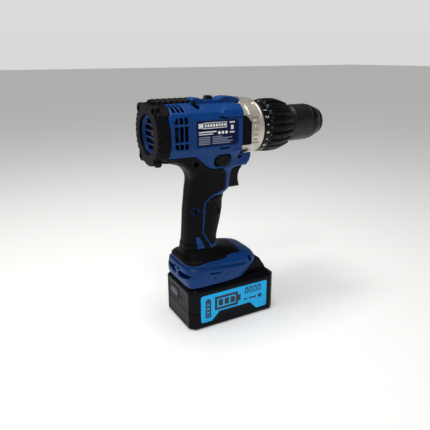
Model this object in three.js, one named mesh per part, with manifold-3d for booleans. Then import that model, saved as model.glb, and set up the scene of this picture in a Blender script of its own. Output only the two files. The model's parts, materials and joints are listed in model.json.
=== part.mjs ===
// Cordless drill driver with a ten-cell slide-on battery pack.
// Millimetres. +Z is up, +X points out of the chuck, +Y is the tool's left side.
// The origin is the centre of the battery pack's underside.
import * as THREE from "three";
import { mergeVertices } from "three/addons/utils/BufferGeometryUtils.js";
import Module from "manifold-3d";

const wasm = await Module();
wasm.setup();

// ---- driving dimensions ------------------------------------------------------------------
const AXIS_Z = 229; // height of the motor, gear and chuck axis
const GAP = 0.3; // clearance between neighbouring pieces
const WALL = 2.6; // moulded housing wall
const SKIN = 1.5; // thickness of the over-moulded rubber
const BIG = 400; // larger than the whole tool, for cutting blocks

const BUMPER_REAR_X = -89; // rear end of the tool
const BOSS = { y: 19, z: 24.4, radius: 5.4 }; // screw bosses on the rear bumper
const BARREL_REAR_X = -84; // rear end of the housing's neck, under the bumper
const BARREL_STEP_X = -75.5; // where the full-size barrel starts
const BARREL_FRONT_X = 11.4; // front end of the housing
const PAD_FRONT_X = 23.2; // front end of the ribbed side pads
const CASE_FRONT_X = 41; // front face of the metal gear case
const COLLAR_FRONT_X = 88; // front end of the torque collar
const CHUCK_FRONT_X = 139; // front end of the chuck's nose

const PACK = { length: 118, width: 72.6, side: 48.4, top: 53.4, corner: 6.5, split: 22 };
const BLADES = [-9, -3, 3, 9]; // sideways places of the four contact blades
const RAIL = { rear: -42, front: 44, half: 19, grip: 22, top: 62 };

const GEAR = { module: 0.85, sun: 12, planet: 12, ring: 36, ringRadius: 18.6, pin: 1.6 };
const CARRIER_RADIUS = (GEAR.module * (GEAR.sun + GEAR.planet)) / 2;
const CASE_BORE = 19;
const CASE_CLEAR = 30; // radius kept free around the gear case's collar

const JAW = { angle: THREE.MathUtils.degToRad(15), open: 4, width: 6, tipX: 137, rearX: 108 };

// ---- materials ---------------------------------------------------------------------------
function material(color, roughness, metalness = 0) {
  return new THREE.MeshStandardMaterial({ color, roughness, metalness });
}
const BLUE = material(0x1d4a8c, 0.45);
const RUBBER = material(0x17181b, 0.8);
const BLACK = material(0x1b1c20, 0.5);
const ALLOY = material(0xb4b0a8, 0.4, 0.9);
const STEEL = material(0x8f9299, 0.35, 1);
const GUNMETAL = material(0x3a3a3d, 0.35, 0.7);
const BRASS = material(0xb28a3c, 0.4, 0.9);
const COPPER = material(0xa8623a, 0.45, 0.8);
const CELL = material(0x2f8f86, 0.5);
const BOARD = material(0x1f5a34, 0.6);
const GREY = material(0x6c6f74, 0.6);
const LENS = material(0xe8eef2, 0.15);

// ---- solids ------------------------------------------------------------------------------
// A closed solid from any closed geometry, with its faces turned outwards.
function solid(geometry) {
  const plain = new THREE.BufferGeometry();
  const source = geometry.index ? geometry.toNonIndexed() : geometry;
  plain.setAttribute("position", source.getAttribute("position"));
  const merged = mergeVertices(plain, 1e-3);
  const index = merged.index.array;
  const faces = [];
  for (let i = 0; i < index.length; i += 3) {
    const [a, b, c] = [index[i], index[i + 1], index[i + 2]];
    if (a !== b && b !== c && c !== a) faces.push(a, b, c);
  }
  const make = (triVerts) =>
    new wasm.Manifold(
      new wasm.Mesh({
        numProp: 3,
        vertProperties: merged.attributes.position.array,
        triVerts: new Uint32Array(triVerts),
      }),
    );
  const made = make(faces);
  return made.volume() > 0 ? made : make(faces.reverse());
}

function join(first, ...rest) {
  return rest.reduce((whole, piece) => whole.add(piece), first);
}

function cut(first, ...rest) {
  return rest.reduce((whole, piece) => whole.subtract(piece), first);
}

function box(x0, x1, y0, y1, z0, z1) {
  const block = new THREE.BoxGeometry(x1 - x0, y1 - y0, z1 - z0);
  return solid(block.translate((x0 + x1) / 2, (y0 + y1) / 2, (z0 + z1) / 2));
}

function extruded(points, depth) {
  const shape = new THREE.Shape(points.map(([u, v]) => new THREE.Vector2(u, v)));
  return new THREE.ExtrudeGeometry(shape, { depth, bevelEnabled: false });
}

// A prism along X from an outline in (y, z).
function prismX(points, x0, x1) {
  const turn = new THREE.Matrix4().set(0, 0, 1, x0, 1, 0, 0, 0, 0, 1, 0, 0, 0, 0, 0, 1);
  return solid(extruded(points, x1 - x0).applyMatrix4(turn));
}

// A prism along Y from an outline in (x, z).
function prismY(points, y0, y1) {
  const turn = new THREE.Matrix4().set(1, 0, 0, 0, 0, 0, -1, y1, 0, 1, 0, 0, 0, 0, 0, 1);
  return solid(extruded(points, y1 - y0).applyMatrix4(turn));
}

// A solid of revolution about an X-parallel axis, from [x, radius] points of a closed profile.
function turned(profile, sides = 28, y = 0, z = AXIS_Z) {
  const points = profile.map(([x, r]) => new THREE.Vector2(r, x));
  const lathe = new THREE.LatheGeometry([...points, points[0]], sides);
  return solid(lathe.rotateZ(-Math.PI / 2).translate(0, y, z));
}

function rodX(x0, x1, radius, y = 0, z = AXIS_Z, sides = 14) {
  return turned([[x0, 0], [x1, 0], [x1, radius], [x0, radius]], sides, y, z);
}

function tubeX(x0, x1, inner, outer, sides = 24) {
  return turned([[x0, inner], [x1, inner], [x1, outer], [x0, outer]], sides);
}

function rodY(y0, y1, radius, x, z, sides = 20) {
  const rod = new THREE.CylinderGeometry(radius, radius, y1 - y0, sides);
  return solid(rod.translate(x, (y0 + y1) / 2, z));
}

// A solid through a stack of convex loops that all have the same number of points.
function loft(loops) {
  const count = loops[0].length;
  const positions = loops.flat(2);
  const index = [];
  for (let s = 0; s < loops.length - 1; s++) {
    for (let i = 0; i < count; i++) {
      const [a, b] = [s * count + i, s * count + ((i + 1) % count)];
      index.push(a, b, b + count, a, b + count, a + count);
    }
  }
  const last = (loops.length - 1) * count;
  for (let i = 1; i < count - 1; i++) {
    index.push(0, i + 1, i, last, last + i, last + i + 1);
  }
  const geometry = new THREE.BufferGeometry();
  geometry.setAttribute("position", new THREE.Float32BufferAttribute(positions, 3));
  geometry.setIndex(index);
  return solid(geometry);
}

function spring(center, axis, radius, wire, turns, length, sides = 5) {
  const curve = new THREE.Curve();
  const side = new THREE.Vector3(0, 1, 0);
  const up = new THREE.Vector3().crossVectors(axis, side);
  curve.getPoint = (t) => {
    const angle = t * turns * 2 * Math.PI;
    const at = center.clone().addScaledVector(axis, t * length);
    at.addScaledVector(side, radius * Math.cos(angle));
    return at.addScaledVector(up, radius * Math.sin(angle));
  };
  const section = new THREE.Shape(
    Array.from({ length: sides }, (_, i) => {
      const angle = (i / sides) * 2 * Math.PI;
      return new THREE.Vector2(wire * Math.cos(angle), wire * Math.sin(angle));
    }),
  );
  const options = { steps: Math.round(turns * 9), extrudePath: curve, bevelEnabled: false };
  return solid(new THREE.ExtrudeGeometry(section, options));
}

const drill = new THREE.Group();
function part(name, shape, look) {
  const mesh = shape.getMesh();
  const geometry = new THREE.BufferGeometry();
  geometry.setAttribute("position", new THREE.BufferAttribute(mesh.vertProperties, 3));
  geometry.setIndex(new THREE.BufferAttribute(mesh.triVerts, 1));
  geometry.computeVertexNormals();
  const made = new THREE.Mesh(geometry, look);
  made.name = name;
  drill.add(made);
}

const RIGHT_HALF = box(-BIG, BIG, -BIG, -GAP / 2, -BIG, BIG);
const LEFT_HALF = box(-BIG, BIG, GAP / 2, BIG, -BIG, BIG);

// ---- housing forms -----------------------------------------------------------------------
// The barrel's section is an octagon with eased corners: flat sides, shoulders and a flat top.
const BARREL_CORNERS = [[31.5, 15], [28.4, 22.4], [20.5, 28.6], [9.5, 31]];

function barrelLoop(x, inset) {
  const scale = 1 - inset / BARREL_CORNERS[0][0];
  const quarter = BARREL_CORNERS.map(([y, z]) => [y * scale, z * scale]);
  const loop = [
    ...quarter,
    ...quarter.map(([y, z]) => [-y, z]).reverse(),
    ...quarter.map(([y, z]) => [-y, -z]),
    ...quarter.map(([y, z]) => [y, -z]).reverse(),
  ];
  return loop.map(([y, z]) => [x, y, AXIS_Z + z]);
}

function barrel(x0, x1, inset) {
  return loft([barrelLoop(x0, inset), barrelLoop(x1, inset)]);
}

// Handle and foot sections from bottom to top: height, rear x, front x, half width, and how
// square the corners are (2 is an ellipse).
const HANDLE = [
  [86, -52.6, -9, 18.4, 3],
  [100, -50.8, -9.8, 17.1, 2.5],
  [112, -50, -7, 17, 2.4],
  [124, -49.3, -3.6, 17, 2.4],
  [138, -48.5, -0.8, 17.1, 2.4],
  [152, -46.8, -0.4, 17.2, 2.4],
  [158.5, -45.6, 2.2, 17.3, 2.6],
  [160.5, -45.2, 7.9, 17.3, 3],
  [172, -42.6, 8.4, 17.8, 3.3],
  [178, -42.2, 8.8, 18.2, 3.4],
  [186, -45.6, 10.2, 19, 3.6],
  [192, -53, 13.2, 20.5, 3.6],
  [197, -63, 17, 22, 3.6],
  [206, -70, 18, 23, 3.6],
];
const FOOT = [
  [54.4, -58.2, 17, 34, 6],
  [60, -59, 24, 35, 6],
  [69, -59.4, 37, 35, 5.4],
  [76, -59, 38, 34, 4.8],
  [81, -57.4, 33, 31.5, 4.2],
  [86, -54.8, 24, 26, 3.4],
  [92, -52.8, 8, 20.5, 3],
  [99, -52, -8.4, 17.6, 2.6],
];
const FOOT_ROOM = [
  [66.6, -56, 32, 30, 4],
  [76, -56, 28, 29, 4],
  [88, -53, -2, 19, 3],
];
const FOOT_TAPER = 0.28; // how much the foot narrows towards its front
const LOOP_POINTS = 20;

function ovalLoop([z, rear, front, half, power], inset, taper = 0) {
  const middle = (rear + front) / 2;
  const reach = (front - rear) / 2 - inset;
  return Array.from({ length: LOOP_POINTS }, (_, i) => {
    const angle = ((i + 0.5) / LOOP_POINTS) * 2 * Math.PI;
    const squeeze = (value) => Math.sign(value) * Math.abs(value) ** (2 / power);
    const along = squeeze(Math.cos(angle));
    const narrow = 1 - taper * Math.max(0, along) ** 2;
    return [middle + reach * along, (half - inset) * narrow * squeeze(Math.sin(angle)), z];
  });
}

function oval(stations, inset, taper = 0, below = -BIG, above = BIG) {
  const kept = stations.filter(([z]) => z >= below && z <= above);
  return loft(kept.map((station) => ovalLoop(station, inset, taper)));
}

// The nose under the gear case, ahead of the trigger's guard.
const NOSE = { rear: -6, front: 31, half: 19.5, low: 187, side: 201, top: 209, ease: 6 };
const NOSE_OUTLINE = [
  [NOSE.rear, NOSE.top], [NOSE.rear, NOSE.low], [25, NOSE.low + 0.6], [29, 192], [NOSE.front, 198],
  [NOSE.front, NOSE.top],
];

function nose(inset) {
  const half = NOSE.half - inset;
  const low = NOSE.low + inset;
  const section = [
    [-half, NOSE.top], [-half, NOSE.side], [-half + NOSE.ease, low], [half - NOSE.ease, low],
    [half, NOSE.side], [half, NOSE.top],
  ];
  return prismY(NOSE_OUTLINE, -half, half).intersect(prismX(section, NOSE.rear, NOSE.front - inset));
}

// The raised spine along the barrel's top, with a dip where the speed selector slides.
const SPINE_OUTLINE = [
  [-40.6, 257], [-40.6, 263.6], [-37, 265], [-31, 264.9], [-26, 262.6], [-8, 262.4],
  [-3, 264.6], [3, 265.2], [11, 264.9], [20, 262.6], [20, 257],
];

const SELECTOR = { rear: -19.6, front: -11.6, half: 4.4, travel: 4.3 };
const BUTTON = { rear: -18.4, front: 0, low: 191, high: 204, half: 24 };
const TRIGGER = { rear: 2.6, half: 9.8, low: 161.2, high: 186 };
const LAMP_Z = 194;
const MOTOR = { rear: -78, front: -24, radius: 18.5, canWall: 1.8 };

// Side regions of the rubber grip and of the octagonal finger pad, in (x, z).
const GRIP_REGION = [
  [-80, 194], [-24, 194], [-20, 188], [-8, 188], [-2, 181], [-2, 163], [-18, 158.5],
  [-30.2, 149.5], [-33, 113.5], [-26.2, 100.5], [-80, 100.5],
];
const FINGER_REGION = [
  [-27.6, 148.3], [-17, 155.6], [12, 155.6], [12, 101.5], [-23.4, 101.5], [-30.4, 114],
];

// An outline moved outwards by a distance, for the pocket that a skin sits in.
function grown(points, distance) {
  const area = points.reduce((sum, [x, y], i) => {
    const [nextX, nextY] = points[(i + 1) % points.length];
    return sum + x * nextY - nextX * y;
  }, 0);
  const side = Math.sign(area);
  return points.map((point, i) => {
    const before = points[(i + points.length - 1) % points.length];
    const after = points[(i + 1) % points.length];
    const into = new THREE.Vector2(point[0] - before[0], point[1] - before[1]).normalize();
    const out = new THREE.Vector2(after[0] - point[0], after[1] - point[1]).normalize();
    const miter = new THREE.Vector2(into.y + out.y, -into.x - out.x).multiplyScalar(side);
    const reach = distance / (0.5 * miter.lengthSq());
    return [point[0] + miter.x * reach, point[1] + miter.y * reach];
  });
}

function handleSkin(region, depth, proud) {
  const shell = cut(oval(HANDLE, -proud), oval(HANDLE, depth));
  return shell.intersect(prismY(region, -BIG, BIG));
}

// Rear openings, side vents and shoulder vents.
function sideVents() {
  const slots = [];
  for (const x of [-67, -62, -57]) {
    for (const z of [-12.5, 0, 12.5]) {
      const tall = z === 0 ? 8 : 5;
      slots.push(box(x - 1.6, x + 1.6, -BIG, BIG, AXIS_Z + 2 + z - tall / 2, AXIS_Z + 2 + z + tall / 2));
    }
  }
  return slots;
}

// ---- housing halves ----------------------------------------------------------------------
function housing() {
  const outside = join(
    barrel(BARREL_STEP_X, BARREL_FRONT_X, 0),
    barrel(BARREL_REAR_X, BARREL_STEP_X + 1, 4),
    prismY(SPINE_OUTLINE, -8.5, 8.5),
    oval(HANDLE, 0),
    oval(FOOT, 0, FOOT_TAPER),
    nose(0),
  );
  const ribs = [-64, -38].map((x) => {
    const plate = barrel(x, x + 2.2, WALL - 0.5);
    return cut(plate, rodX(x - 1, x + 4, MOTOR.radius + 2 * GAP, 0, AXIS_Z, 24));
  });
  const hollow = join(
    barrel(BARREL_STEP_X + WALL, BIG, WALL),
    barrel(-BIG, BARREL_STEP_X + WALL + 1, 4 + WALL),
    oval(HANDLE, WALL, 0, 100, 186),
    loft([ovalLoop([87, -51.6, -11, 18, 3], WALL), ovalLoop(HANDLE[1], WALL)]),
    oval(HANDLE, WALL + 1, 0, 186, 206),
    oval(FOOT_ROOM, WALL, FOOT_TAPER),
    nose(WALL).intersect(box(NOSE.rear, 27.6, -BIG, BIG, NOSE.low + WALL, 204)),
  );
  const openings = [
    rodX(BARREL_FRONT_X, BIG, CASE_CLEAR, 0, AXIS_Z, 32),
    box(SELECTOR.rear - SELECTOR.travel - 1, SELECTOR.front + 1, -5.2, 5.2, 255, BIG),
    box(-78, -41.2 + GAP, -7.6, 7.6, 259, BIG),
    box(-3, 12, -TRIGGER.half - 0.5, TRIGGER.half + 0.5, TRIGGER.low - 0.5, TRIGGER.high + 0.4),
    box(BUTTON.rear - 0.4, BUTTON.front + 0.4, -BIG, BIG, BUTTON.low - 0.4, BUTTON.high + 0.4),
    rodX(24, 40, 3, 0, LAMP_Z, 16),
    box(-40.4, -13.6, -14.4, 14.4, 60, 68),
    box(RAIL.rear - 2, BIG, -RAIL.half - 0.4, RAIL.half + 0.4, 0, RAIL.top + 1),
    box(RAIL.rear - 2, BIG, -RAIL.grip - 0.4, RAIL.grip + 0.4, 58.6, RAIL.top + 1),
    handleSkin(grown(GRIP_REGION, GAP), SKIN + GAP, 2),
    handleSkin(grown(FINGER_REGION, GAP), SKIN + GAP, 2),
    ...sideVents(),
  ];
  return cut(outside, cut(hollow, ...ribs), ...openings);
}

const body = housing();
part("housing_right", body.intersect(RIGHT_HALF), BLUE);
part("housing_left", body.intersect(LEFT_HALF), BLUE);

const grip = handleSkin(GRIP_REGION, SKIN, 0);
part("grip_right", grip.intersect(RIGHT_HALF), RUBBER);
part("grip_left", grip.intersect(LEFT_HALF), RUBBER);
part("finger_pad", handleSkin(FINGER_REGION, SKIN, 0), RUBBER);

// Ribbed rubber pads over the gear case's flanks.
function sidePad() {
  const outline = [[0, 213.6], [PAD_FRONT_X, 213.6], [PAD_FRONT_X, 238.6], [16, 245.4], [0, 245.4]];
  const block = barrel(BARREL_FRONT_X + GAP, PAD_FRONT_X, 0);
  const pad = cut(block.intersect(prismY(outline, 24, 50)), rodX(0, 50, CASE_CLEAR, 0, AXIS_Z, 32));
  const grooves = [218, 224, 230, 236].map((z) => box(13.5, 21, 30.6, BIG, z, z + 1));
  return cut(pad, ...grooves);
}
part("side_pad_left", sidePad(), RUBBER);
part("side_pad_right", sidePad().mirror([0, 1, 0]), RUBBER);

// Rope-ribbed rubber strip on the barrel's top.
function topPad() {
  const outline = [[-41.6, 259.3], [-41.6, 261.5]];
  const ribs = 6;
  const pitch = 5.6;
  for (let i = 0; i < ribs; i++) {
    const x = -42 - i * pitch;
    outline.push([x - 1, 263.2], [x - pitch + 1.6, 263.2], [x - pitch + 0.4, 261.4]);
  }
  outline.push([-75, 261.4], [-75, 259.3]);
  return prismY(outline, -7.2, 7.2);
}
part("top_pad", topPad(), RUBBER);

// Rear bumper: a rubber ring with four screw bosses.
function bumper() {
  const stations = [[BARREL_STEP_X - GAP, -0.3], [-83, -0.5], [-87.4, 0.6], [BUMPER_REAR_X, 4]];
  const ring = loft(stations.map(([x, inset]) => barrelLoop(x, inset)));
  const bosses = [];
  for (const y of [-BOSS.y, BOSS.y]) {
    for (const z of [-BOSS.z, BOSS.z]) bosses.push(rodX(-88, -77, BOSS.radius, y, AXIS_Z + z, 14));
  }
  return cut(
    join(ring, ...bosses),
    barrel(BARREL_REAR_X - GAP, -70, 3.7),
    rodX(-95, -80, 22.6, 0, AXIS_Z, 32),
  );
}
part("rear_bumper", bumper(), RUBBER);

function grille() {
  const disc = turned([[-86, 0], [-83, 0], [-83, 22.2], [-86, 22.2]], 32);
  const slots = [-14, -7, 0, 7, 14].map((z) => {
    const half = z === 0 ? 17 : Math.sqrt(17 * 17 - z * z);
    return box(-92, -78, -half, half, AXIS_Z + z - 1.8, AXIS_Z + z + 1.8);
  });
  const spine = box(-85.8, -83.2, -1.6, 1.6, AXIS_Z - 18, AXIS_Z + 18);
  return join(cut(disc, ...slots), spine);
}
part("rear_grille", grille(), BLUE);

// ---- motor -------------------------------------------------------------------------------
const CAN_INNER = MOTOR.radius - MOTOR.canWall;
part(
  "motor_can",
  turned([
    [MOTOR.rear, CAN_INNER], [MOTOR.rear, MOTOR.radius], [MOTOR.front, MOTOR.radius], [MOTOR.front, 6],
    [MOTOR.front - 1.6, 6], [MOTOR.front - 1.6, CAN_INNER],
  ]),
  STEEL,
);
const magnet = tubeX(-68, -34, CAN_INNER - 3.2, CAN_INNER - GAP, 32).intersect(
  box(-70, -30, 4, BIG, 0, BIG),
);
part("motor_magnet_left", magnet, GREY);
part("motor_magnet_right", magnet.mirror([0, 1, 0]), GREY);

// The moulded end cap closes the can and carries the rear bearing and the brush gear.
part(
  "motor_end_cap",
  join(
    tubeX(MOTOR.rear - 3, MOTOR.rear - GAP, 3.4, MOTOR.radius - 0.4),
    tubeX(MOTOR.rear - 1, MOTOR.rear + 3, 13.4, CAN_INNER - GAP),
    box(MOTOR.rear - 1, MOTOR.rear + 8, 8.2, 13.8, AXIS_Z - 2.4, AXIS_Z + 2.4),
    box(MOTOR.rear - 1, MOTOR.rear + 8, -13.8, -8.2, AXIS_Z - 2.4, AXIS_Z + 2.4),
  ),
  BLACK,
);

// Shaft, commutator and slotted core turn as one pressed assembly.
function armature() {
  const core = rodX(-64, -38, 12.2, 0, AXIS_Z, 20);
  const slots = Array.from({ length: 5 }, (_, i) =>
    box(-66, -36, 8, 14, -0.8, 0.8).rotate([(i * 360) / 5, 0, 0]).translate([0, 0, AXIS_Z]),
  );
  const shaft = rodX(-82, -5.6, 2.5, 0, AXIS_Z, 16);
  const commutator = rodX(-78, -70, 7.6, 0, AXIS_Z, 16);
  const windings = rodX(-71, -63, 5, 0, AXIS_Z, 12);
  return join(cut(core, ...slots), shaft, commutator, windings);
}
part("armature", armature(), COPPER);

function fan() {
  const hub = tubeX(-34, -29, 2.9, 6);
  const disc = tubeX(-29.6, -28.6, 2.9, 13.6);
  const blades = Array.from({ length: 7 }, (_, i) =>
    box(-33.4, -29, 5, 13.4, -0.6, 0.6).rotate([(i * 360) / 7, 0, 0]).translate([0, 0, AXIS_Z]),
  );
  return join(hub, disc, ...blades);
}
part("motor_fan", fan(), GREY);

// ---- planetary gearbox -------------------------------------------------------------------
// Tooth outline: four points a tooth, as [radius, angle in pitches from the tooth's centre].
function toothed(count, root, tip, rootHalf, tipHalf, phase) {
  const pitch = (2 * Math.PI) / count;
  const tooth = [[root, -rootHalf], [tip, -tipHalf], [tip, tipHalf], [root, rootHalf]];
  return Array.from({ length: count }, (_, i) =>
    tooth.map(([radius, offset]) => {
      const angle = phase + (i + offset) * pitch;
      return [radius * Math.cos(angle), radius * Math.sin(angle)];
    }),
  ).flat();
}

function spurGear(count, x0, x1, phase, bore) {
  const pitchRadius = (GEAR.module * count) / 2;
  const [root, tip] = [pitchRadius - 1.1 * GEAR.module, pitchRadius + 0.9 * GEAR.module];
  const wheel = prismX(toothed(count, root, tip, 0.3, 0.12, phase), x0, x1);
  return bore ? cut(wheel, rodX(x0 - 1, x1 + 1, bore, 0, 0, 10)) : wheel;
}

function ringGear(x0, x1) {
  const pitchRadius = (GEAR.module * GEAR.ring) / 2;
  const [root, tip] = [pitchRadius + 1.1 * GEAR.module, pitchRadius - 0.8 * GEAR.module];
  const hole = prismX(toothed(GEAR.ring, root, tip, 0.32, 0.18, RING_PHASE), x0 - 1, x1 + 1);
  return cut(tubeX(x0, x1, 5, GEAR.ringRadius), hole.translate([0, 0, AXIS_Z]));
}

// A planet at angle theta has a gap where the sun, with a tooth at angle 0, has a tooth.
function planetPhase(theta) {
  const sunTurn = (GEAR.sun * theta) / (2 * Math.PI);
  return theta + Math.PI - ((0.5 - sunTurn) * 2 * Math.PI) / GEAR.planet;
}
const FIRST_PLANET_TURN = (-GEAR.planet * planetPhase(0)) / (2 * Math.PI);
const RING_PHASE = (-(FIRST_PLANET_TURN + 0.5) * 2 * Math.PI) / GEAR.ring;
const PLANET_ANGLES = [0, 1, 2].map((i) => (i * 2 * Math.PI) / 3);

// Each stage: planets' rear and front faces, and the ring gear's.
const STAGES = [
  { planets: [-12, -6], ring: [-13, -5.8] },
  { planets: [-1, 5], ring: [0, 7] },
  { planets: [10.5, 16.5], ring: [10, 20.2] },
];

function carrierPlate(x0, x1, pinRear) {
  const pins = PLANET_ANGLES.map((theta) =>
    rodX(pinRear, x0 + 0.5, GEAR.pin, CARRIER_RADIUS * Math.cos(theta),
      AXIS_Z + CARRIER_RADIUS * Math.sin(theta), 8),
  );
  return join(rodX(x0, x1, 13.4, 0, AXIS_Z, 20), ...pins);
}

STAGES.forEach(({ planets, ring }, stage) => {
  PLANET_ANGLES.forEach((theta, i) => {
    const wheel = spurGear(GEAR.planet, planets[0], planets[1], planetPhase(theta), GEAR.pin + 0.2);
    const place = [0, CARRIER_RADIUS * Math.cos(theta), AXIS_Z + CARRIER_RADIUS * Math.sin(theta)];
    part("planet_" + (stage + 1) + "_" + (i + 1), wheel.translate(place), STEEL);
  });
  let toothRing = ringGear(ring[0], ring[1]);
  if (stage === 1) toothRing = cut(toothRing, tubeX(2.6, 4.4, 17.6, 20));
  part("ring_gear_" + (stage + 1), toothRing, STEEL);
});

part(
  "pinion",
  cut(spurGear(GEAR.sun, -12.4, -5.6, 0).translate([0, 0, AXIS_Z]), rodX(-13, -5, 2.8, 0, AXIS_Z, 16)),
  STEEL,
);
for (const [name, plate, sunFront, pinRear] of [
  ["carrier_1", [-5.2, -2], 5.4, -12],
  ["carrier_2", [5.9, 8.6], 16.9, -1],
]) {
  const sun = spurGear(GEAR.sun, plate[1] - 0.2, sunFront, 0).translate([0, 0, AXIS_Z]);
  part(name, join(carrierPlate(plate[0], plate[1], pinRear), sun), STEEL);
}

// The output spindle carries the third planets and the chuck.
part(
  "spindle",
  cut(
    join(carrierPlate(17.3, 20.2, 10.5), rodX(19, 112, 6, 0, AXIS_Z, 24)),
    rodX(96, 120, 2.5, 0, AXIS_Z, 12),
  ),
  STEEL,
);

function gearCase() {
  const shell = turned(
    [
      [-14.5, CASE_BORE], [-14.5, 21.5], [BARREL_FRONT_X + GAP, 21.5], [BARREL_FRONT_X + GAP, 28.6],
      [14, 29.5], [24.6, 29.5], [25.2, 28.9], [CASE_FRONT_X - 0.6, 29.4], [CASE_FRONT_X, 28.8],
      [CASE_FRONT_X, 25.6], [29, 25.6], [29, 17], [64, 17], [64, 15.6], [80.5, 15.6], [80.5, 11.2],
      [70.5, 11.2], [70.5, 7.2], [20.8, 7.2], [20.8, CASE_BORE],
    ],
    32,
  );
  const tab = prismY([[20.4, 255], [38, 255], [38, 258.6], [31, 261.4], [20.4, 262.8]], -7, 7);
  const flutes = Array.from({ length: 6 }, (_, i) =>
    rodX(20, 30, 1.9, 0, 20, 8).rotate([i * 60 + 30, 0, 0]).translate([0, 0, AXIS_Z]),
  );
  return cut(join(shell, tab), box(-2, 9, -4.4, 4.4, AXIS_Z + 15, AXIS_Z + 24), ...flutes);
}
part("gear_case", gearCase(), ALLOY);

// ---- clutch ------------------------------------------------------------------------------
part(
  "clutch_plate",
  join(
    tubeX(30, 32.4, 17.3, 23.4, 32),
    ...Array.from({ length: 6 }, (_, i) =>
      rodX(20.6, 30.4, 1.6, 0, 20, 8).rotate([i * 60 + 30, 0, 0]).translate([0, 0, AXIS_Z]),
    ),
  ),
  STEEL,
);
part(
  "clutch_spring",
  spring(new THREE.Vector3(34, 0, AXIS_Z), new THREE.Vector3(1, 0, 0), 19.4, 1.25, 3.5, 25.2),
  STEEL,
);
part("clutch_nut", tubeX(61, 65.4, 17.3, 22, 32), BLACK);

// Torque collar: smooth number band, ribbed grip, smooth front lip.
function torqueCollar() {
  const ribs = 20;
  const loop = (x, crest, root) =>
    Array.from({ length: ribs * 4 }, (_, i) => {
      const radius = i % 4 < 2 ? crest : root;
      const angle = ((i + 0.5) / (ribs * 4)) * 2 * Math.PI;
      return [x, radius * Math.cos(angle), AXIS_Z + radius * Math.sin(angle)];
    });
  const stations = [
    [50, 30.8, 29.2], [60, 31.2, 29.3], [71, 30.6, 28.8], [80, 28.2, 27], [84.6, 26.4, 25.4],
  ];
  const gripRing = loft(stations.map(([x, crest, root]) => loop(x, crest, root)));
  const band = turned([[41.4, 0], [41.4, 29.3], [42, 29.9], [50.6, 29.6], [51.8, 27.4], [51.8, 0]], 40);
  const lip = turned(
    [[78, 0], [78, 23.8], [84, 24.8], [86.6, 24.4], [COLLAR_FRONT_X, 23], [COLLAR_FRONT_X, 0]],
    32,
  );
  const inside = turned(
    [[41, 0], [41, 26.4], [66, 26.4], [80, 22.8], [84, 22.8], [84, 16], [90, 16], [90, 0]],
    24,
  );
  return cut(join(gripRing, band, lip), inside);
}
part("torque_collar", torqueCollar(), BLACK);

part("spindle_bearing", tubeX(71, 79, 6.2, 11, 28), STEEL);

// ---- keyless chuck -----------------------------------------------------------------------
const JAW_SLOPE = Math.tan(JAW.angle);
const JAW_OUTER = 6.8; // outer edge's radius at the tip
function jawOutline(rear, front, margin) {
  const outer = (x) => JAW_OUTER + (JAW.tipX - x) * JAW_SLOPE + margin;
  const inner = (x) => JAW.open + (JAW.tipX - 16 - x) * JAW_SLOPE - margin;
  return [[rear, inner(rear)], [front, inner(front)], [front, outer(front)], [rear, outer(rear)]];
}

function jaw() {
  const blank = prismY(jawOutline(JAW.rearX, JAW.tipX, 0), -JAW.width / 2, JAW.width / 2);
  const reach = 20;
  const flank = JAW.open + reach / Math.sqrt(3);
  const wedge = [[0, JAW.open], [reach, flank], [reach, 60], [-reach, 60], [-reach, flank]];
  return blank.intersect(prismX(wedge, 90, 150));
}

function jawSlot() {
  const half = JAW.width / 2 + GAP;
  return prismY(jawOutline(94, 145, GAP), -half, half);
}
const around = (shape, i) => shape.rotate([i * 120, 0, 0]).translate([0, 0, AXIS_Z]);
for (const i of [0, 1, 2]) part("chuck_jaw_" + (i + 1), around(jaw(), i), STEEL);

function chuckBody() {
  const core = turned(
    [
      [89, 6.3], [89, 13.2], [91, 14], [133, 14], [133.2, 17], [135, 16.8], [138, 15.4],
      [CHUCK_FRONT_X, 13.8],
      [CHUCK_FRONT_X, 7.2], [116, 7.2], [116, 2.6], [112.6, 2.6], [112.6, 6.3],
    ],
    24,
  );
  return cut(core, ...[0, 1, 2].map((i) => around(jawSlot(), i)));
}
part("chuck_body", chuckBody(), STEEL);

part(
  "chuck_sleeve",
  turned(
    [
      [89.4, 14.4], [89.4, 21.2], [90.4, 22], [119, 22], [123, 21.2], [129, 19.4], [132.6, 17.4],
      [132.6, 14.4], [126, 14.4], [126, 18.6], [95.5, 18.6], [92.5, 16], [92.5, 14.4],
    ],
    32,
  ),
  GUNMETAL,
);
part("chuck_nut", tubeX(118.5, 124.5, 14.9, 18.3, 32), STEEL);
part(
  "chuck_screw",
  turned([[98, 0], [98, 2.1], [116.3, 2.1], [116.3, 3.6], [118.6, 3.6], [118.6, 0]], 14),
  STEEL,
);

// ---- controls and electrics --------------------------------------------------------------
const SWITCH_Z = 174; // height of the switch's plunger and spring
function trigger() {
  const outline = [[TRIGGER.rear, TRIGGER.low], [18.4, TRIGGER.low], [20.8, 163]];
  for (let i = 1; i < 6; i++) {
    const t = i / 6;
    outline.push([21.2 - 2 * Math.sin(Math.PI * t) + 1.8 * t * t, 163 + 20.4 * t]);
  }
  outline.push([23.6, 184.4], [22, TRIGGER.high], [TRIGGER.rear, TRIGGER.high]);
  return cut(prismY(outline, -TRIGGER.half, TRIGGER.half), rodX(0, 13, 4.2, 0, SWITCH_Z, 14));
}
part("trigger", trigger(), BLACK);
part(
  "trigger_spring",
  spring(new THREE.Vector3(-3.4, 0, SWITCH_Z), new THREE.Vector3(1, 0, 0), 3, 0.45, 5, 15.4, 4),
  STEEL,
);
part("switch_body", box(-37, -4.8, -9, 9, SWITCH_Z - 11.5, SWITCH_Z + 12), BLACK);

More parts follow.
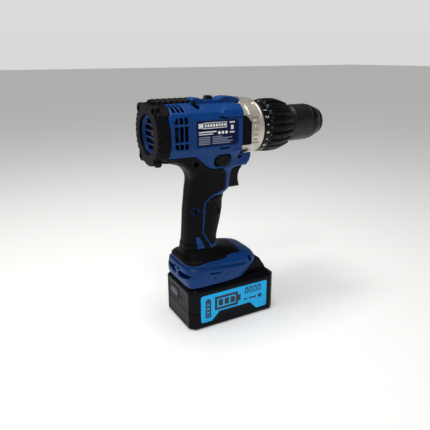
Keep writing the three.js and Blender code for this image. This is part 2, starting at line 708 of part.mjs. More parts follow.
function directionButton() {
  const { rear, front, low, high, half } = BUTTON;
  const ease = 4;
  const outline = [
    [rear, low + ease], [rear + ease, low], [front - ease, low], [front, low + ease],
    [front, high - ease], [front - ease, high], [rear + ease, high], [rear, high - ease],
  ];
  return prismY(outline, -half, half);
}
part("direction_button", directionButton(), BLACK);

function speedSelector() {
  const { rear, front, half } = SELECTOR;
  const thumb = prismY([[rear, 262], [rear + 1, 266.4], [front - 1, 266.4], [front, 262]], -half, half);
  const stem = box(rear + 2, front - 2, -3, 3, 253.4, 263);
  const arm = box(rear + 2, 4.2, -3, 3, 252.2, 254);
  const fork = box(2.8, 4.2, -3, 3, AXIS_Z + 18, 254);
  return join(thumb, stem, arm, fork);
}
part("speed_selector", speedSelector(), BLACK);
part("led_lens", turned([[24.5, 0], [24.5, 2.6], [29.6, 2.6], [30.4, 1.6], [30.4, 0]], 14, 0, LAMP_Z), LENS);
part(
  "terminal_block",
  join(
    box(-40, -14, -14, 14, 63.8, 66.6),
    ...BLADES.map((y) => box(-37, -26, y - 0.4, y + 0.4, 57.5, 64.5)),
  ),
  BLACK,
);

// ---- battery pack ------------------------------------------------------------------------
// Plan outline with cut corners, as a loop at height z.
function packLoop(z, inset) {
  const [hx, hy] = [PACK.length / 2 - inset, PACK.width / 2 - inset];
  const corner = PACK.corner - inset * 0.6;
  return [
    [hx, -hy + corner, z], [hx, hy - corner, z], [hx - corner, hy, z], [-hx + corner, hy, z],
    [-hx, hy - corner, z], [-hx, -hy + corner, z], [-hx + corner, -hy, z], [hx - corner, -hy, z],
  ];
}

function packBase() {
  const shell = loft([packLoop(0, 2.5), packLoop(2.5, 0), packLoop(PACK.split, 0)]);
  return cut(shell, loft([packLoop(2.2, 3), packLoop(PACK.split + 1, 2.2)]));
}
part("pack_base", packBase(), BLACK);

function packCover() {
  const shell = loft([
    packLoop(PACK.split + GAP, 0),
    packLoop(PACK.side, 0),
    packLoop(PACK.top - 1.4, 4.4),
    packLoop(PACK.top, 6),
  ]);
  const rail = join(
    box(RAIL.rear, RAIL.front - 20, -RAIL.half, RAIL.half, PACK.top - 1, RAIL.top),
    box(RAIL.rear, RAIL.front - 20, -RAIL.grip, RAIL.grip, 59, RAIL.top),
  );
  const prow = prismY(
    [[21.5, 53], [21.5, 56.4], [26.2, 59.9], [40.2, 69.8], [43, 69.8], [50.6, 58], [53, 53]], -24, 24,
  );
  const room = [[PACK.split, 2.2], [PACK.side - 1.4, 2.2], [PACK.top - 2.2, 7]];
  const hollow = loft(room.map(([z, inset]) => packLoop(z, inset)));
  return cut(
    join(shell, rail, prow),
    hollow,
    box(-38, 20, -16, 16, 50, RAIL.top - 2),
    ...BLADES.map((y) => box(RAIL.rear - 1, -22, y - 1.2, y + 1.2, 55.5, 70)),
    box(49.6, 60, -14.4, 14.4, 29.6, 46.4),
    box(-60, -55.6, -1.4, 21.4, 25.6, 41.4),
  );
}
part("pack_cover", packCover(), BLACK);

const CELLS = { radius: 9.1, pitch: 18.7, half: 32.4 };
for (const [name, z] of [["lower", 12.6], ["upper", 31.2]]) {
  const cells = [-2, -1, 0, 1, 2].map((i) =>
    rodY(-CELLS.half, CELLS.half, CELLS.radius, i * CELLS.pitch, z, 12),
  );
  const strips = [-1, 1].map((side) => {
    const ends = [side * (CELLS.half - 0.2), side * (CELLS.half + 0.4)].sort((a, b) => a - b);
    return box(-2.4 * CELLS.pitch, 2.4 * CELLS.pitch, ends[0], ends[1], z - 3.5, z + 3.5);
  });
  part("cell_row_" + name, join(...cells, ...strips), CELL);
}
part(
  "pack_board",
  join(
    box(-40, 36, -24, 24, 42.4, 44),
    ...BLADES.map((y) => box(-21, -15, y - 1.4, y + 1.4, 43, 59)),
  ),
  BOARD,
);
part("release_button", box(54, PACK.length / 2, -14, 14, 30, 46), BLACK);
part(
  "release_spring",
  spring(new THREE.Vector3(47.4, 0, 38), new THREE.Vector3(1, 0, 0), 2.2, 0.35, 3.5, 5.8, 4),
  STEEL,
);
part("gauge_panel", box(-PACK.length / 2, -55.9, -1, 21, 26, 41), GREY);

export default drill;
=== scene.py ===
import functools
import itertools
import json
import math

import bmesh
import bpy
import numpy as np
from mathutils import Matrix, Vector


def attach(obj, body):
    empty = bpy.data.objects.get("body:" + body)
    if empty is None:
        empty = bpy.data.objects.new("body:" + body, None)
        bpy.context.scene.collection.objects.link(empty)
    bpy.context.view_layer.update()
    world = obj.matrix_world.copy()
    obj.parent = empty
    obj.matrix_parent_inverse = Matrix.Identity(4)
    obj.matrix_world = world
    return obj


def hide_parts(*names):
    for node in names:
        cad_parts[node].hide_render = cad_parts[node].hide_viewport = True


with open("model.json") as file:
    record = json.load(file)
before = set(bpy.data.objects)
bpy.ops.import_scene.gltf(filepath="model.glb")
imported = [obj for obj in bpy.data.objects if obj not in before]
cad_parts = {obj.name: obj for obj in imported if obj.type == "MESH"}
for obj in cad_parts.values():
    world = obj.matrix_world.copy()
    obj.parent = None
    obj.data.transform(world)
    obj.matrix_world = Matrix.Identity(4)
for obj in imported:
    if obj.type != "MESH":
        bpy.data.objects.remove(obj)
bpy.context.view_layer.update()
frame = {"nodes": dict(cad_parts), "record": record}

MM = 0.001
FAR = 1e3
CREASE = math.radians(40)

AXIS = 229.0  # height of the motor, gear and chuck axis
BARREL_REAR, BARREL_STEP, BARREL_FRONT = -84.0, -75.5, 11.4
WALL = 2.6  # moulded housing wall
SKIN = 1.5  # over-moulded rubber
SEAM = 0.12  # half of the gap between the housing halves
FLANK = 31.5  # half width of the barrel's flat sides
NECK_INSET = 3.7  # how far the barrel's rear end is set in, under the bumper
DRUM_TOP = 258.2  # flat top of the barrel, from DRUM_TOP_FROM forward
DRUM_TOP_FROM = -40.4
CHIN_HALF = 19.5  # half width of the block over the trigger
SPINE_HALF = 8.5
COLLAR_FRONT = 88.0
PACK = {"length": 118.0, "width": 72.6, "side": 48.4, "top": 53.4, "corner": 6.5, "split": 22.0}

BARREL_CORNERS = [(31.5, 15.0), (28.4, 22.4), (20.5, 28.6), (9.5, 31.0)]
SPINE = [
    (-40.6, 256), (-40.6, 263.4), (-37.5, 265), (-31, 264.9), (-26, 262.5), (-8, 262.3),
    (-3, 264.6), (3, 265.2), (11, 264.9), (17, 262.8), (20.2, 260.6), (20.2, 256),
]
NOSE = [(-6, 209), (-6, 187), (25, 187.6), (29, 192), (31, 198), (31, 209)]
# Height, rear x, front x, half width and squareness of the handle's and the foot's sections.
HANDLE = [
    (86, -52.6, -9, 18.4, 3), (100, -50.8, -9.8, 17.1, 2.5), (112, -50, -7, 17, 2.4),
    (124, -49.3, -3.6, 17, 2.4), (138, -48.5, -0.8, 17.1, 2.4), (152, -46.8, -0.4, 17.2, 2.4),
    (158.5, -45.6, 2.2, 17.3, 2.6), (160.5, -45.2, 7.9, 17.3, 3), (172, -42.6, 8.4, 17.8, 3.3),
    (178, -42.2, 8.8, 18.2, 3.4), (186, -45.6, 10.2, 19, 3.6), (192, -53, 13.2, 20.5, 3.6),
    (197, -63, 17, 22, 3.6), (206, -70, 18, 23, 3.6),
]
FOOT = [
    (54.4, -58.2, 19.4, 34.4, 9), (60, -59, 25.2, 35, 8), (69, -59.4, 37.2, 35, 6.4),
    (76, -59, 38.4, 34.6, 5.4), (80.5, -58, 34, 32.4, 4.6), (84.4, -56.6, 29, 29, 4),
    (86.4, -54.6, 20, 24, 3.6), (88.2, -52.4, 3, 18.8, 3), (92, -51.4, -8, 17.4, 2.6),
    (97, -51, -9.4, 17.2, 2.6),
]
FOOT_TAPER = 0.14
EASED_OVER = 2.4  # the stations' values are averaged this far up and down

# Side regions of the over-moulds and printed or recessed areas, in (x, z).
GRIP = [
    (-80, 206.5), (-44.5, 205.5), (-26, 190.5), (-20, 188), (-8, 188), (-2, 181), (-2, 163),
    (-18, 158.5), (-30.2, 149.5), (-33, 113.5), (-24, 97.5), (-22, 92.6), (-80, 92.6),
]
FINGER_PAD = [
    (-27.6, 148.3), (-17, 155.6), (12, 155.6), (12, 98), (-21.4, 98), (-23, 101.5), (-30.4, 114),
]
REAR_SKIN = [
    (-95, 270), (-71.4, 262), (-71.8, 256), (-73.6, 251), (-78.4, 246.4), (-76.4, 242), (-74.6, 236),
    (-74, 228), (-74.4, 219), (-76, 212), (-76, 206.8), (-95, 206.8),
]
HANDLE_SCREW = (-40, 139.4)  # with a blue ring round it
NECK_SCREW = (-41.4, 196)
TOP_SCREW = (-38.8, 258.7)
HANDLE_TAB = [(-41, 110), (-36, 110), (-30.4, 98), (-29, 94.4), (-39.6, 94.4)]
VENT_PANEL = [(-71.4, 219), (-71.4, 243.4), (-67.6, 248.8), (-53.6, 248.8), (-53.6, 214), (-67.6, 214)]
VENT_COLUMNS = [-67.6, -62, -56.4]
VENT_ROWS = [(215.2, 221), (223.2, 239), (241.2, 247.6)]
STICKER = [(-45.5, 216), (-45.5, 243.4), (2.5, 243.4), (5.5, 240.5), (5.5, 219), (2.5, 216)]
SHOULDER_BLOCK = [(-16, 250.5), (-7.6, 257.6), (11.3, 258), (11.3, 246.6), (-13, 246)]
LABEL_NOTCH = [(-31, 8.4), (-21, 18.4), (22, 18.4), (31, 8.4)]


# ---- distance fields ------------------------------------------------------------------------
# A field is an array over a block of space: negative inside the form, positive outside.
def block(low, high, step):
    axes = [np.arange(a, b + step, step, dtype=np.float32) for a, b in zip(low, high)]
    return np.meshgrid(*axes, indexing="ij", sparse=True)


def polygon(u, v, points):
    """Signed distance to a closed outline."""
    nearest = np.full(np.broadcast(u, v).shape, FAR * FAR, np.float32)
    inside = np.zeros(nearest.shape, bool)
    for (ax, ay), (bx, by) in zip(points, points[1:] + points[:1]):
        ex, ey = bx - ax, by - ay
        t = np.clip(((u - ax) * ex + (v - ay) * ey) / (ex * ex + ey * ey), 0, 1)
        nearest = np.minimum(nearest, (u - ax - ex * t) ** 2 + (v - ay - ey * t) ** 2)
        if ey:
            inside ^= ((v < ay) != (v < by)) & (u < ax + ex * (v - ay) / ey)
    nearest = np.sqrt(nearest)
    return np.where(inside, -nearest, nearest)


def slab(outline, across, half, ease=0.0):
    """An outline given depth, with its edges rounded."""
    a, b = outline + ease, np.abs(across) - half + ease
    return np.minimum(np.maximum(a, b), 0) + np.hypot(np.maximum(a, 0), np.maximum(b, 0)) - ease


def box_field(x, y, z, low, high, ease=0.0):
    q = [np.abs(c - (a + b) / 2) - (b - a) / 2 + ease for c, a, b in zip((x, y, z), low, high)]
    outer = np.sqrt(sum(np.maximum(c, 0) ** 2 for c in q))
    return outer + np.minimum(np.maximum(np.maximum(q[0], q[1]), q[2]), 0) - ease


def melt(a, b, reach):
    """Union with a fillet."""
    h = np.clip(0.5 + 0.5 * (b - a) / reach, 0, 1)
    return b + (a - b) * h - reach * h * (1 - h)


def meet(a, b, reach):
    """Intersection with an eased edge."""
    return -melt(-a, -b, reach)


def raise_by(field, region, height, bevel=0.6):
    """Embosses, or with a negative height engraves, a region of the surface."""
    return field - height * np.clip(-region / bevel, 0, 1)


def unit(field, step):
    """The field rescaled to true distances near its surface."""
    slope = np.sqrt(sum(g * g for g in np.gradient(field, step)))
    return field / np.maximum(slope, 0.35)


def line_region(u, v, a, b, width):
    """Distance to a stroke from a to b, of that width and with round ends."""
    (ax, ay), (bx, by) = a, b
    ex, ey = bx - ax, by - ay
    t = np.clip(((u - ax) * ex + (v - ay) * ey) / (ex * ex + ey * ey), 0, 1)
    return np.hypot(u - ax - ex * t, v - ay - ey * t) - width / 2


def both(*fields):
    """Where all the forms overlap."""
    return functools.reduce(np.maximum, fields)


def either(*fields):
    return functools.reduce(np.minimum, fields)


def carve(form, *tools):
    """The form with each tool cut out of it."""
    for tool in tools:
        form = np.maximum(form, -tool)
    return form


def band(value, middle, half):
    return np.abs(value - middle) - half


def radial(y, z):
    """Distance from the motor axis."""
    return np.hypot(y, z - AXIS)


def sample(field, at):
    """Trilinear value of a field at points given in grid units."""
    base = np.clip(np.floor(at).astype(int), 0, np.array(field.shape) - 2)
    part = at - base
    value = 0
    for corner in itertools.product((0, 1), repeat=3):
        weight = np.prod([part[:, k] if c else 1 - part[:, k] for k, c in enumerate(corner)], axis=0)
        value = value + weight * field[tuple((base + corner).T)]
    return value


def surface_nets(field, low, step):
    """One vertex in each cell that the surface crosses and one quad round each crossed edge."""
    inside = field < 0
    corners = list(itertools.product((0, 1), repeat=3))
    nx, ny, nz = field.shape
    total = np.zeros((nx - 1, ny - 1, nz - 1), np.int8)
    for i, j, k in corners:
        total += inside[i : nx - 1 + i, j : ny - 1 + j, k : nz - 1 + k]
    active = (total > 0) & (total < 8)
    cells = np.argwhere(active)
    index = np.full(active.shape, -1, np.int32)
    index[active] = np.arange(len(cells))
    values = {c: field[tuple((cells + c).T)] for c in corners}
    offset = np.zeros(cells.shape)
    hits = np.zeros(len(cells))
    for axis in range(3):
        for c in corners:
            if c[axis]:
                continue
            step_to = tuple(1 if k == axis else c[k] for k in range(3))
            a, b = values[c], values[step_to]
            crossed = (a < 0) != (b < 0)
            t = a[crossed] / (a[crossed] - b[crossed])
            offset[crossed] += c
            offset[crossed, axis] += t
            hits[crossed] += 1
    points = cells + offset / hits[:, None]
    slopes = np.gradient(field)
    for _ in range(2):
        normal = np.stack([sample(g, points) for g in slopes], axis=1)
        size = np.maximum(np.sum(normal**2, axis=1), 1e-4)
        move = -(sample(field, points) / size)[:, None] * normal
        points = np.clip(points + np.clip(move, -0.35, 0.35), cells - 0.1, cells + 1.1)
    quads = []
    for axis in range(3):
        u, v = (axis + 1) % 3, (axis + 2) % 3
        low_part = [slice(1, -1)] * 3
        high_part = [slice(1, -1)] * 3
        low_part[axis], high_part[axis] = slice(0, -1), slice(1, None)
        a, b = inside[tuple(low_part)], inside[tuple(high_part)]
        where = np.argwhere(a != b)
        outward = a[tuple(where.T)]
        start = where + 1
        start[:, axis] -= 1
        du, dv = np.eye(3, dtype=int)[u], np.eye(3, dtype=int)[v]
        ring = np.stack([index[tuple((start - s).T)] for s in (du + dv, dv, 0 * du, du)], axis=1)
        quads.append(np.where(outward[:, None], ring, ring[:, ::-1]))
    quads = np.concatenate(quads)
    quads = quads[(quads >= 0).all(axis=1)]
    normal = normal / np.linalg.norm(normal, axis=1)[:, None]
    return points * step + np.array(low), quads, normal


# ---- meshes ---------------------------------------------------------------------------------
def object_of(mesh):
    made = bpy.data.objects.new(mesh.name, mesh)
    bpy.context.scene.collection.objects.link(made)
    return made


def mesh_of(name, points, faces, normals=None, mirrored=False):
    """A mesh from arrays in millimetres; mirrored gives its reflection in the plane y = 0."""
    points = np.array(points, float)
    faces = np.array(faces)
    if mirrored:
        points = points * (1, -1, 1)
        faces = faces[:, ::-1]
        normals = normals * (1, -1, 1)
    mesh = bpy.data.meshes.new(name)
    mesh.vertices.add(len(points))
    mesh.vertices.foreach_set("co", (points * MM).ravel())
    mesh.loops.add(faces.size)
    mesh.loops.foreach_set("vertex_index", faces.ravel())
    mesh.polygons.add(len(faces))
    mesh.polygons.foreach_set("loop_start", np.arange(0, faces.size, faces.shape[1]))
    mesh.update(calc_edges=True)
    mesh.polygons.foreach_set("use_smooth", np.ones(len(faces), bool))
    if normals is not None:
        mesh.normals_split_custom_set_from_vertices([tuple(n) for n in normals])
    return mesh


def mesh_from(name, work):
    mesh = bpy.data.meshes.new(name)
    work.to_mesh(mesh)
    work.free()
    return mesh


def mesh_piece(mesh, look, body, replaced=()):
    """A piece that rides on a body, with its look as its only material."""
    mesh.materials.clear()
    mesh.materials.append(look)
    piece = object_of(mesh)
    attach(piece, body)
    if replaced:
        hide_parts(*replaced)


def field_piece(name, form, low, high, step, look, body, replaced=(), mirrored=False):
    x, y, z = block(low, high, step)
    field = np.broadcast_to(form(x, y, z), np.broadcast(x, y, z).shape)
    points, quads, normals = surface_nets(np.ascontiguousarray(field), low, step)
    mesh_piece(mesh_of(name, points, quads, normals, mirrored), look, body, replaced)


def eased(profile, ease=0.5, steps=3):
    """A closed outline with each corner turned into a short arc."""
    out = []
    for before, at, after in zip(profile[-1:] + profile[:-1], profile, profile[1:] + profile[:1]):
        at, before, after = Vector(at), Vector(before), Vector(after)
        reach = min(ease, 0.4 * (before - at).length, 0.4 * (after - at).length)
        a = at + (before - at).normalized() * reach
        b = at + (after - at).normalized() * reach
        for i in range(steps + 1):
            t = i / steps
            out.append(tuple((1 - t) ** 2 * a + 2 * t * (1 - t) * at + t * t * b))
    return out


def lathe_mesh(name, profile, sides=96, y=0.0, z=AXIS, wave=None):
    """A closed profile of (x, radius) turned about an X-parallel axis."""
    angles = np.arange(sides) * 2 * math.pi / sides
    along = np.array([p[0] for p in profile])[:, None]
    radius = np.array([p[1] for p in profile])[:, None] + 0 * angles
    if wave is not None:
        radius = radius + wave(along, angles[None, :], radius)
    rings = np.stack([along + 0 * radius, y + radius * np.cos(angles), z + radius * np.sin(angles)], 2)
    count = len(profile)
    i, j = np.meshgrid(np.arange(count), np.arange(sides), indexing="ij")
    after_i, after_j = (i + 1) % count, (j + 1) % sides
    corners = (i * sides + j, after_i * sides + j, after_i * sides + after_j, i * sides + after_j)
    faces = np.stack([c.ravel() for c in corners], axis=1)
    return tidied(mesh_of(name, rings.reshape(-1, 3), faces))


def tidied(mesh):
    """Merged vertices, outward faces, and edges sharper than CREASE kept sharp."""
    work = bmesh.new()
    work.from_mesh(mesh)
    bmesh.ops.remove_doubles(work, verts=work.verts, dist=1e-6)
    bmesh.ops.dissolve_degenerate(work, edges=work.edges, dist=1e-7)
    bmesh.ops.recalc_face_normals(work, faces=work.faces)
    for edge in work.edges:
        if len(edge.link_faces) == 2:
            edge.smooth = edge.calc_face_angle(0) < CREASE
    for face in work.faces:
        face.smooth = True
    work.to_mesh(mesh)
    work.free()
    return mesh


def lathe_piece(name, profile, look, body, replaced=(), **kind):
    mesh_piece(lathe_mesh(name, profile, **kind), look, body, replaced)


def plates_mesh(name, outlines, side, depth, thick):
    """Flat prints: convex outlines in (x, z), raised from the plane y = side * depth."""
    work = bmesh.new()
    for outline in outlines:
        rings = []
        for level in (depth - thick, depth + thick):
            rings.append([work.verts.new((u * MM, side * level * MM, w * MM)) for u, w in outline])
        work.faces.new(rings[0])
        work.faces.new(rings[1])
        for k in range(len(outline)):
            m = (k + 1) % len(outline)
            work.faces.new((rings[0][k], rings[0][m], rings[1][m], rings[1][k]))
    bmesh.ops.recalc_face_normals(work, faces=work.faces)
    return mesh_from(name, work)


def joined(name, meshes):
    work = bmesh.new()
    for mesh in meshes:
        work.from_mesh(mesh)
    return mesh_from(name, work)


# ---- materials ------------------------------------------------------------------------------
class Nodes:
    """A principled material that is put together from a few kinds of procedural detail."""

    def __init__(self, name, metallic=0.0, specular=0.5):
        self.material = bpy.data.materials.new(name)
        self.material.use_nodes = True
        self.tree = self.material.node_tree
        self.shader = self.tree.nodes["Principled BSDF"]
        self.shader.inputs["Metallic"].default_value = metallic
        self.shader.inputs["Specular IOR Level"].default_value = specular
        self.place = self.tree.nodes.new("ShaderNodeTexCoord").outputs["Object"]
        self.height = None

    def node(self, kind, **inputs):
        made = self.tree.nodes.new(kind)
        for key, value in inputs.items():
            made.inputs[key.replace("_", " ")].default_value = value
        return made

    def link(self, out, into):
        self.tree.links.new(out, into)

    def stretched(self, scale):
        mapping = self.node("ShaderNodeMapping")
        mapping.inputs["Scale"].default_value = scale
        self.link(self.place, mapping.inputs["Vector"])
        return mapping.outputs["Vector"]

    def noise(self, size_mm, detail=2.0, scale=(1, 1, 1), rough=0.5):
        """Noise with features of about that size, drawn out along an axis by a small scale."""
        made = self.node("ShaderNodeTexNoise", Scale=1 / (size_mm * MM), Detail=detail, Roughness=rough)
        self.link(self.stretched(scale), made.inputs["Vector"])
        return made.outputs["Fac"]

    def ramp(self, value, stops):
        made = self.tree.nodes.new("ShaderNodeValToRGB")
        ramp = made.color_ramp
        while len(ramp.elements) < len(stops):
            ramp.elements.new(0.5)
        for element, (at, color) in zip(ramp.elements, stops):
            element.position = at
            element.color = (*color, 1) if isinstance(color, tuple) else (color, color, color, 1)
        self.link(value, made.inputs["Fac"])
        return made.outputs["Color"]

    def mix(self, factor, a, b):
        made = self.tree.nodes.new("ShaderNodeMix")
        made.data_type = "RGBA"
        for socket, value in zip((made.inputs[0], made.inputs[6], made.inputs[7]), (factor, a, b)):
            if isinstance(value, bpy.types.NodeSocket):
                self.link(value, socket)
            else:
                socket.default_value = (*value, 1) if isinstance(value, tuple) else value
        return made.outputs[2]

    def spread(self, value, low, high):
        made = self.node("ShaderNodeMapRange", To_Min=low, To_Max=high)
        self.link(value, made.inputs["Value"])
        return made.outputs["Result"]

    def bump(self, value, depth_mm, strength=1.0):
        """Adds relief of that depth."""
        made = self.node("ShaderNodeBump", Strength=strength, Distance=depth_mm * MM)
        self.link(value, made.inputs["Height"])
        if self.height is not None:
            self.link(self.height, made.inputs["Normal"])
        self.height = made.outputs["Normal"]

    def done(self, color, rough_map):
        self.link(color, self.shader.inputs["Base Color"])
        self.link(rough_map, self.shader.inputs["Roughness"])
        if self.height is not None:
            self.link(self.height, self.shader.inputs["Normal"])
        return self.material


def plastic(name, color, roughness, grain=0.35, relief=0.03, worn=0.06, specular=0.5, cloudy=0.12):
    """Moulded plastic: spark-eroded grain, slight clouding, rubbed and dusty patches."""
    make = Nodes(name, specular=specular)
    cloud = make.noise(24, 4)
    dark, light = (tuple(c * (1 + k * cloudy) for c in color) for k in (-1, 1))
    tint = make.ramp(cloud, [(0.3, dark), (0.7, light)])
    scuffs = make.ramp(make.noise(7, 6, (1, 1, 0.25), 0.7), [(0.6, 0.0), (0.74, 1.0)])
    faded = tuple(c * 0.9 + worn for c in color)
    dust = make.mix(make.spread(scuffs, 0, 0.35), tint, faded)
    make.bump(make.noise(grain, 3, rough=0.6), relief)
    make.bump(make.noise(9, 2), 0.05, 0.5)
    return make.done(dust, make.spread(make.noise(3, 5), roughness - 0.07, roughness + 0.09))


def metal(name, color, roughness, brush=(1, 0.03, 0.03), grain=0.4, relief=0.01, metallic=1.0):
    """Metal with fine tool marks along the direction of the small scales."""
    make = Nodes(name, metallic)
    cloud = make.noise(11, 4)
    tint = make.ramp(cloud, [(0.3, tuple(c * 0.85 for c in color)), (0.7, tuple(c * 1.08 for c in color))])
    marks = make.noise(grain, 4, brush, 0.6)
    make.bump(marks, relief)
    return make.done(tint, make.spread(marks, roughness - 0.08, roughness + 0.12))


BLUE = plastic("blue_nylon", (0.001, 0.042, 0.19), 0.4, worn=0.006, specular=0.2)
# A darker, less glossy copy of the housing blue, for the rear grille's dish: painted shade for its recess
# behind the bumper.
PAINTED_SHADE_BLUE = plastic("blue_painted_shade", (0.002, 0.03, 0.14), 0.38, worn=0.006, specular=0.15)
RUBBER = plastic("rubber_skin", (0.0015, 0.0015, 0.0025), 0.5, 0.5, 0.06, worn=0.002, specular=0.1)
BLACK = plastic("black_nylon", (0.0015, 0.0015, 0.003), 0.34, worn=0.002, specular=0.15)
PACK_BLACK = plastic("pack_nylon", (0.0015, 0.0018, 0.005), 0.36, 0.4, 0.04, worn=0.002, specular=0.1)
GREY = plastic("grey_plastic", (0.12, 0.12, 0.13), 0.5)
ALLOY = metal("cast_alloy", (0.62, 0.57, 0.5), 0.42, (1, 1, 1), 0.6, 0.04, 0.75)
STEEL = metal("turned_steel", (0.5, 0.5, 0.52), 0.32)
# Black oxide for the chuck, its sleeve's nose and the screws; on the motor's nodes the same black is painted
# shade inside the housing.
BLACK_STEEL_AND_SHADE = metal("black_oxide_and_painted_shade", (0.014, 0.0135, 0.014), 0.24, metallic=0.85)
SLEEVE_GREY = metal("sleeve_grey", (0.035, 0.034, 0.033), 0.36, metallic=0.8)
COPPER = metal("varnished_copper", (0.16, 0.065, 0.035), 0.45)
CELL_WRAP = plastic("cell_wrap", (0.08, 0.4, 0.36), 0.35)
BOARD_GREEN = plastic("board_mask", (0.02, 0.14, 0.06), 0.4)
LENS = plastic("lamp_lens", (0.8, 0.83, 0.85), 0.15, relief=0.005)
CYAN = plastic("label_film", (0.02, 0.5, 1.0), 0.34, 0.8, 0.008, worn=0.02, specular=0.1)
NAVY = plastic("sticker_film", (0.003, 0.007, 0.05), 0.3, 0.8, 0.006, worn=0.005, specular=0.1)
WHITE_INK = plastic("white_ink", (0.78, 0.79, 0.8), 0.5, relief=0.005)
GREY_INK = plastic("grey_ink", (0.2, 0.22, 0.34), 0.5, relief=0.005)
DARK_INK = plastic("dark_ink", (0.006, 0.01, 0.03), 0.45, relief=0.005)

LOOKS = {  # by the record's slot
    "housing_blue": BLUE, "rubber_black": RUBBER, "plastic_black": BLACK, "pack_black": PACK_BLACK,
    "plastic_grey": GREY, "gear_case_alloy": ALLOY, "steel": STEEL, "chuck_steel": BLACK_STEEL_AND_SHADE,
    "chuck_grey": SLEEVE_GREY, "copper": COPPER, "cell_wrap": CELL_WRAP,
    "board_green": BOARD_GREEN, "lens_clear": LENS,
}


# ---- housing, grips and skins ---------------------------------------------------------------
def barrel_section(y, z):
    upper = BARREL_CORNERS + [(-u, w) for u, w in reversed(BARREL_CORNERS)]
    return polygon(np.abs(y), z - AXIS, upper + [(-u, -w) for u, w in upper])


def barrel(x, y, z, rear, front, inset=0.0, ease=1.0):
    section = barrel_section(y, z) + inset
    return slab(section, x - (rear + front) / 2, (front - rear) / 2, ease)


def oval(x, y, z, stations, taper=0.0):
    """A column of superellipse sections, with the stations' values eased along z."""
    table = np.array(stations, float)
    heights = z.ravel()
    taps = np.linspace(-EASED_OVER, EASED_OVER, 7)
    values = [
        np.mean([np.interp(heights + t, table[:, 0], table[:, c]) for t in taps], axis=0)
        for c in range(1, 5)
    ]
    rear, front, half, power = (v.reshape(z.shape).astype(np.float32) for v in values)
    reach = (front - rear) / 2
    u = (x - (rear + front) / 2) / reach
    half = half * (1 - taper * np.clip(u, 0, 1) ** 2)
    u, v = np.abs(u) + 1e-4, np.abs(y) / half + 1e-4
    size = (u**power + v**power) ** (1 / power)
    slope = np.hypot(u ** (power - 1) / reach, v ** (power - 1) / half) * size ** (1 - power)
    return (size - 1) / slope


def body_form(x, y, z, step):
    """The outside of barrel, spine, nose, handle and foot, before pockets and detail."""
    handle = both(oval(x, y, z, HANDLE), 88 - z, z - 206)
    foot = both(oval(x, y, z, FOOT, FOOT_TAPER), 54.4 - z, z - 99)
    grip = unit(melt(handle, foot, 2.5), step)
    drum = melt(barrel(x, y, z, BARREL_STEP, BARREL_FRONT), barrel(x, y, z, BARREL_REAR, 0, NECK_INSET), 0.5)
    drum = carve(drum, both(DRUM_TOP - z, DRUM_TOP_FROM - x))
    chin = slab(polygon(x, z, NOSE), y, CHIN_HALF, 4)
    spine = slab(polygon(x, z, SPINE), y, SPINE_HALF, 1.4)
    top = melt(melt(drum, chin, 3), spine, 0.8)
    return melt(top, grip, 7)


def hollow_form(x, y, z):
    """The inside of the housing shell."""
    drum = barrel(x, y, z, BARREL_STEP + WALL, FAR, WALL)
    neck = barrel(x, y, z, -FAR, BARREL_STEP + WALL + 1, NECK_INSET + WALL)
    handle = both(oval(x, y, z, HANDLE) + 2 * WALL, 100 - z, z - 205)
    foot = box_field(x, y, z, (-50, -18, 66.6), (14, 18, 82), 3)
    chin = slab(polygon(x, z, NOSE) + WALL, y, CHIN_HALF - WALL, 2)
    return either(drum, neck, handle, foot, chin)


def ring_region(x, z, at, radius, width):
    return np.abs(np.hypot(x - at[0], z - at[1]) - radius) - width / 2


def blue_marks(x, z):
    """Places on the handle's side where the blue housing comes through the rubber."""
    ring = ring_region(x, z, HANDLE_SCREW, 4.1, 1.2)
    dash = line_region(x, z, (-33, 139.6), (-31.8, 139.6), 2)
    tab = polygon(x, z, HANDLE_TAB)
    tick = line_region(x, z, (-58.4, 193.6), (-58.4, 201), 1)
    return either(ring, dash, tab, tick)


def grip_region(x, z):
    return both(polygon(x, z, GRIP), -blue_marks(x, z))


def foot_pad_region(x, y, z):
    side = [(-70, -1), (-70, 30.6), (-8, 29.6), (-6.4, 26.4), (13.6, 24.2), (15.6, -1)]
    return both(polygon(x, np.abs(y), side), 80.4 - z, z - 92.5)


def screw_wells(x, z):
    """Casing screws' wells on the right side, as regions in (x, z)."""
    wells = [(HANDLE_SCREW, 3), (NECK_SCREW, 3), (TOP_SCREW, 4.2)]
    return [np.hypot(x - cx, z - cz) - r for (cx, cz), r in wells]


def vents(x, y, z):
    side = np.abs(y)
    holes = []
    for cx in VENT_COLUMNS:
        for low, high in VENT_ROWS:
            cell = both(band(x, cx, 2.1), np.abs(z - (low + high) / 2) - (high - low) / 2)
            holes.append(both(cell, polygon(x, z, VENT_PANEL) + 1))
    panel = both(either(*holes), 22 - side)
    for k in range(3):
        x0 = -70.4 + 4.9 * k
        slot = polygon(x, z, [(x0, 260.6), (x0 + 3, 260.6), (x0 + 4.6, 252.6), (x0 + 1.6, 252.6)])
        panel = either(panel, both(slot, 9.4 - side))
    return panel


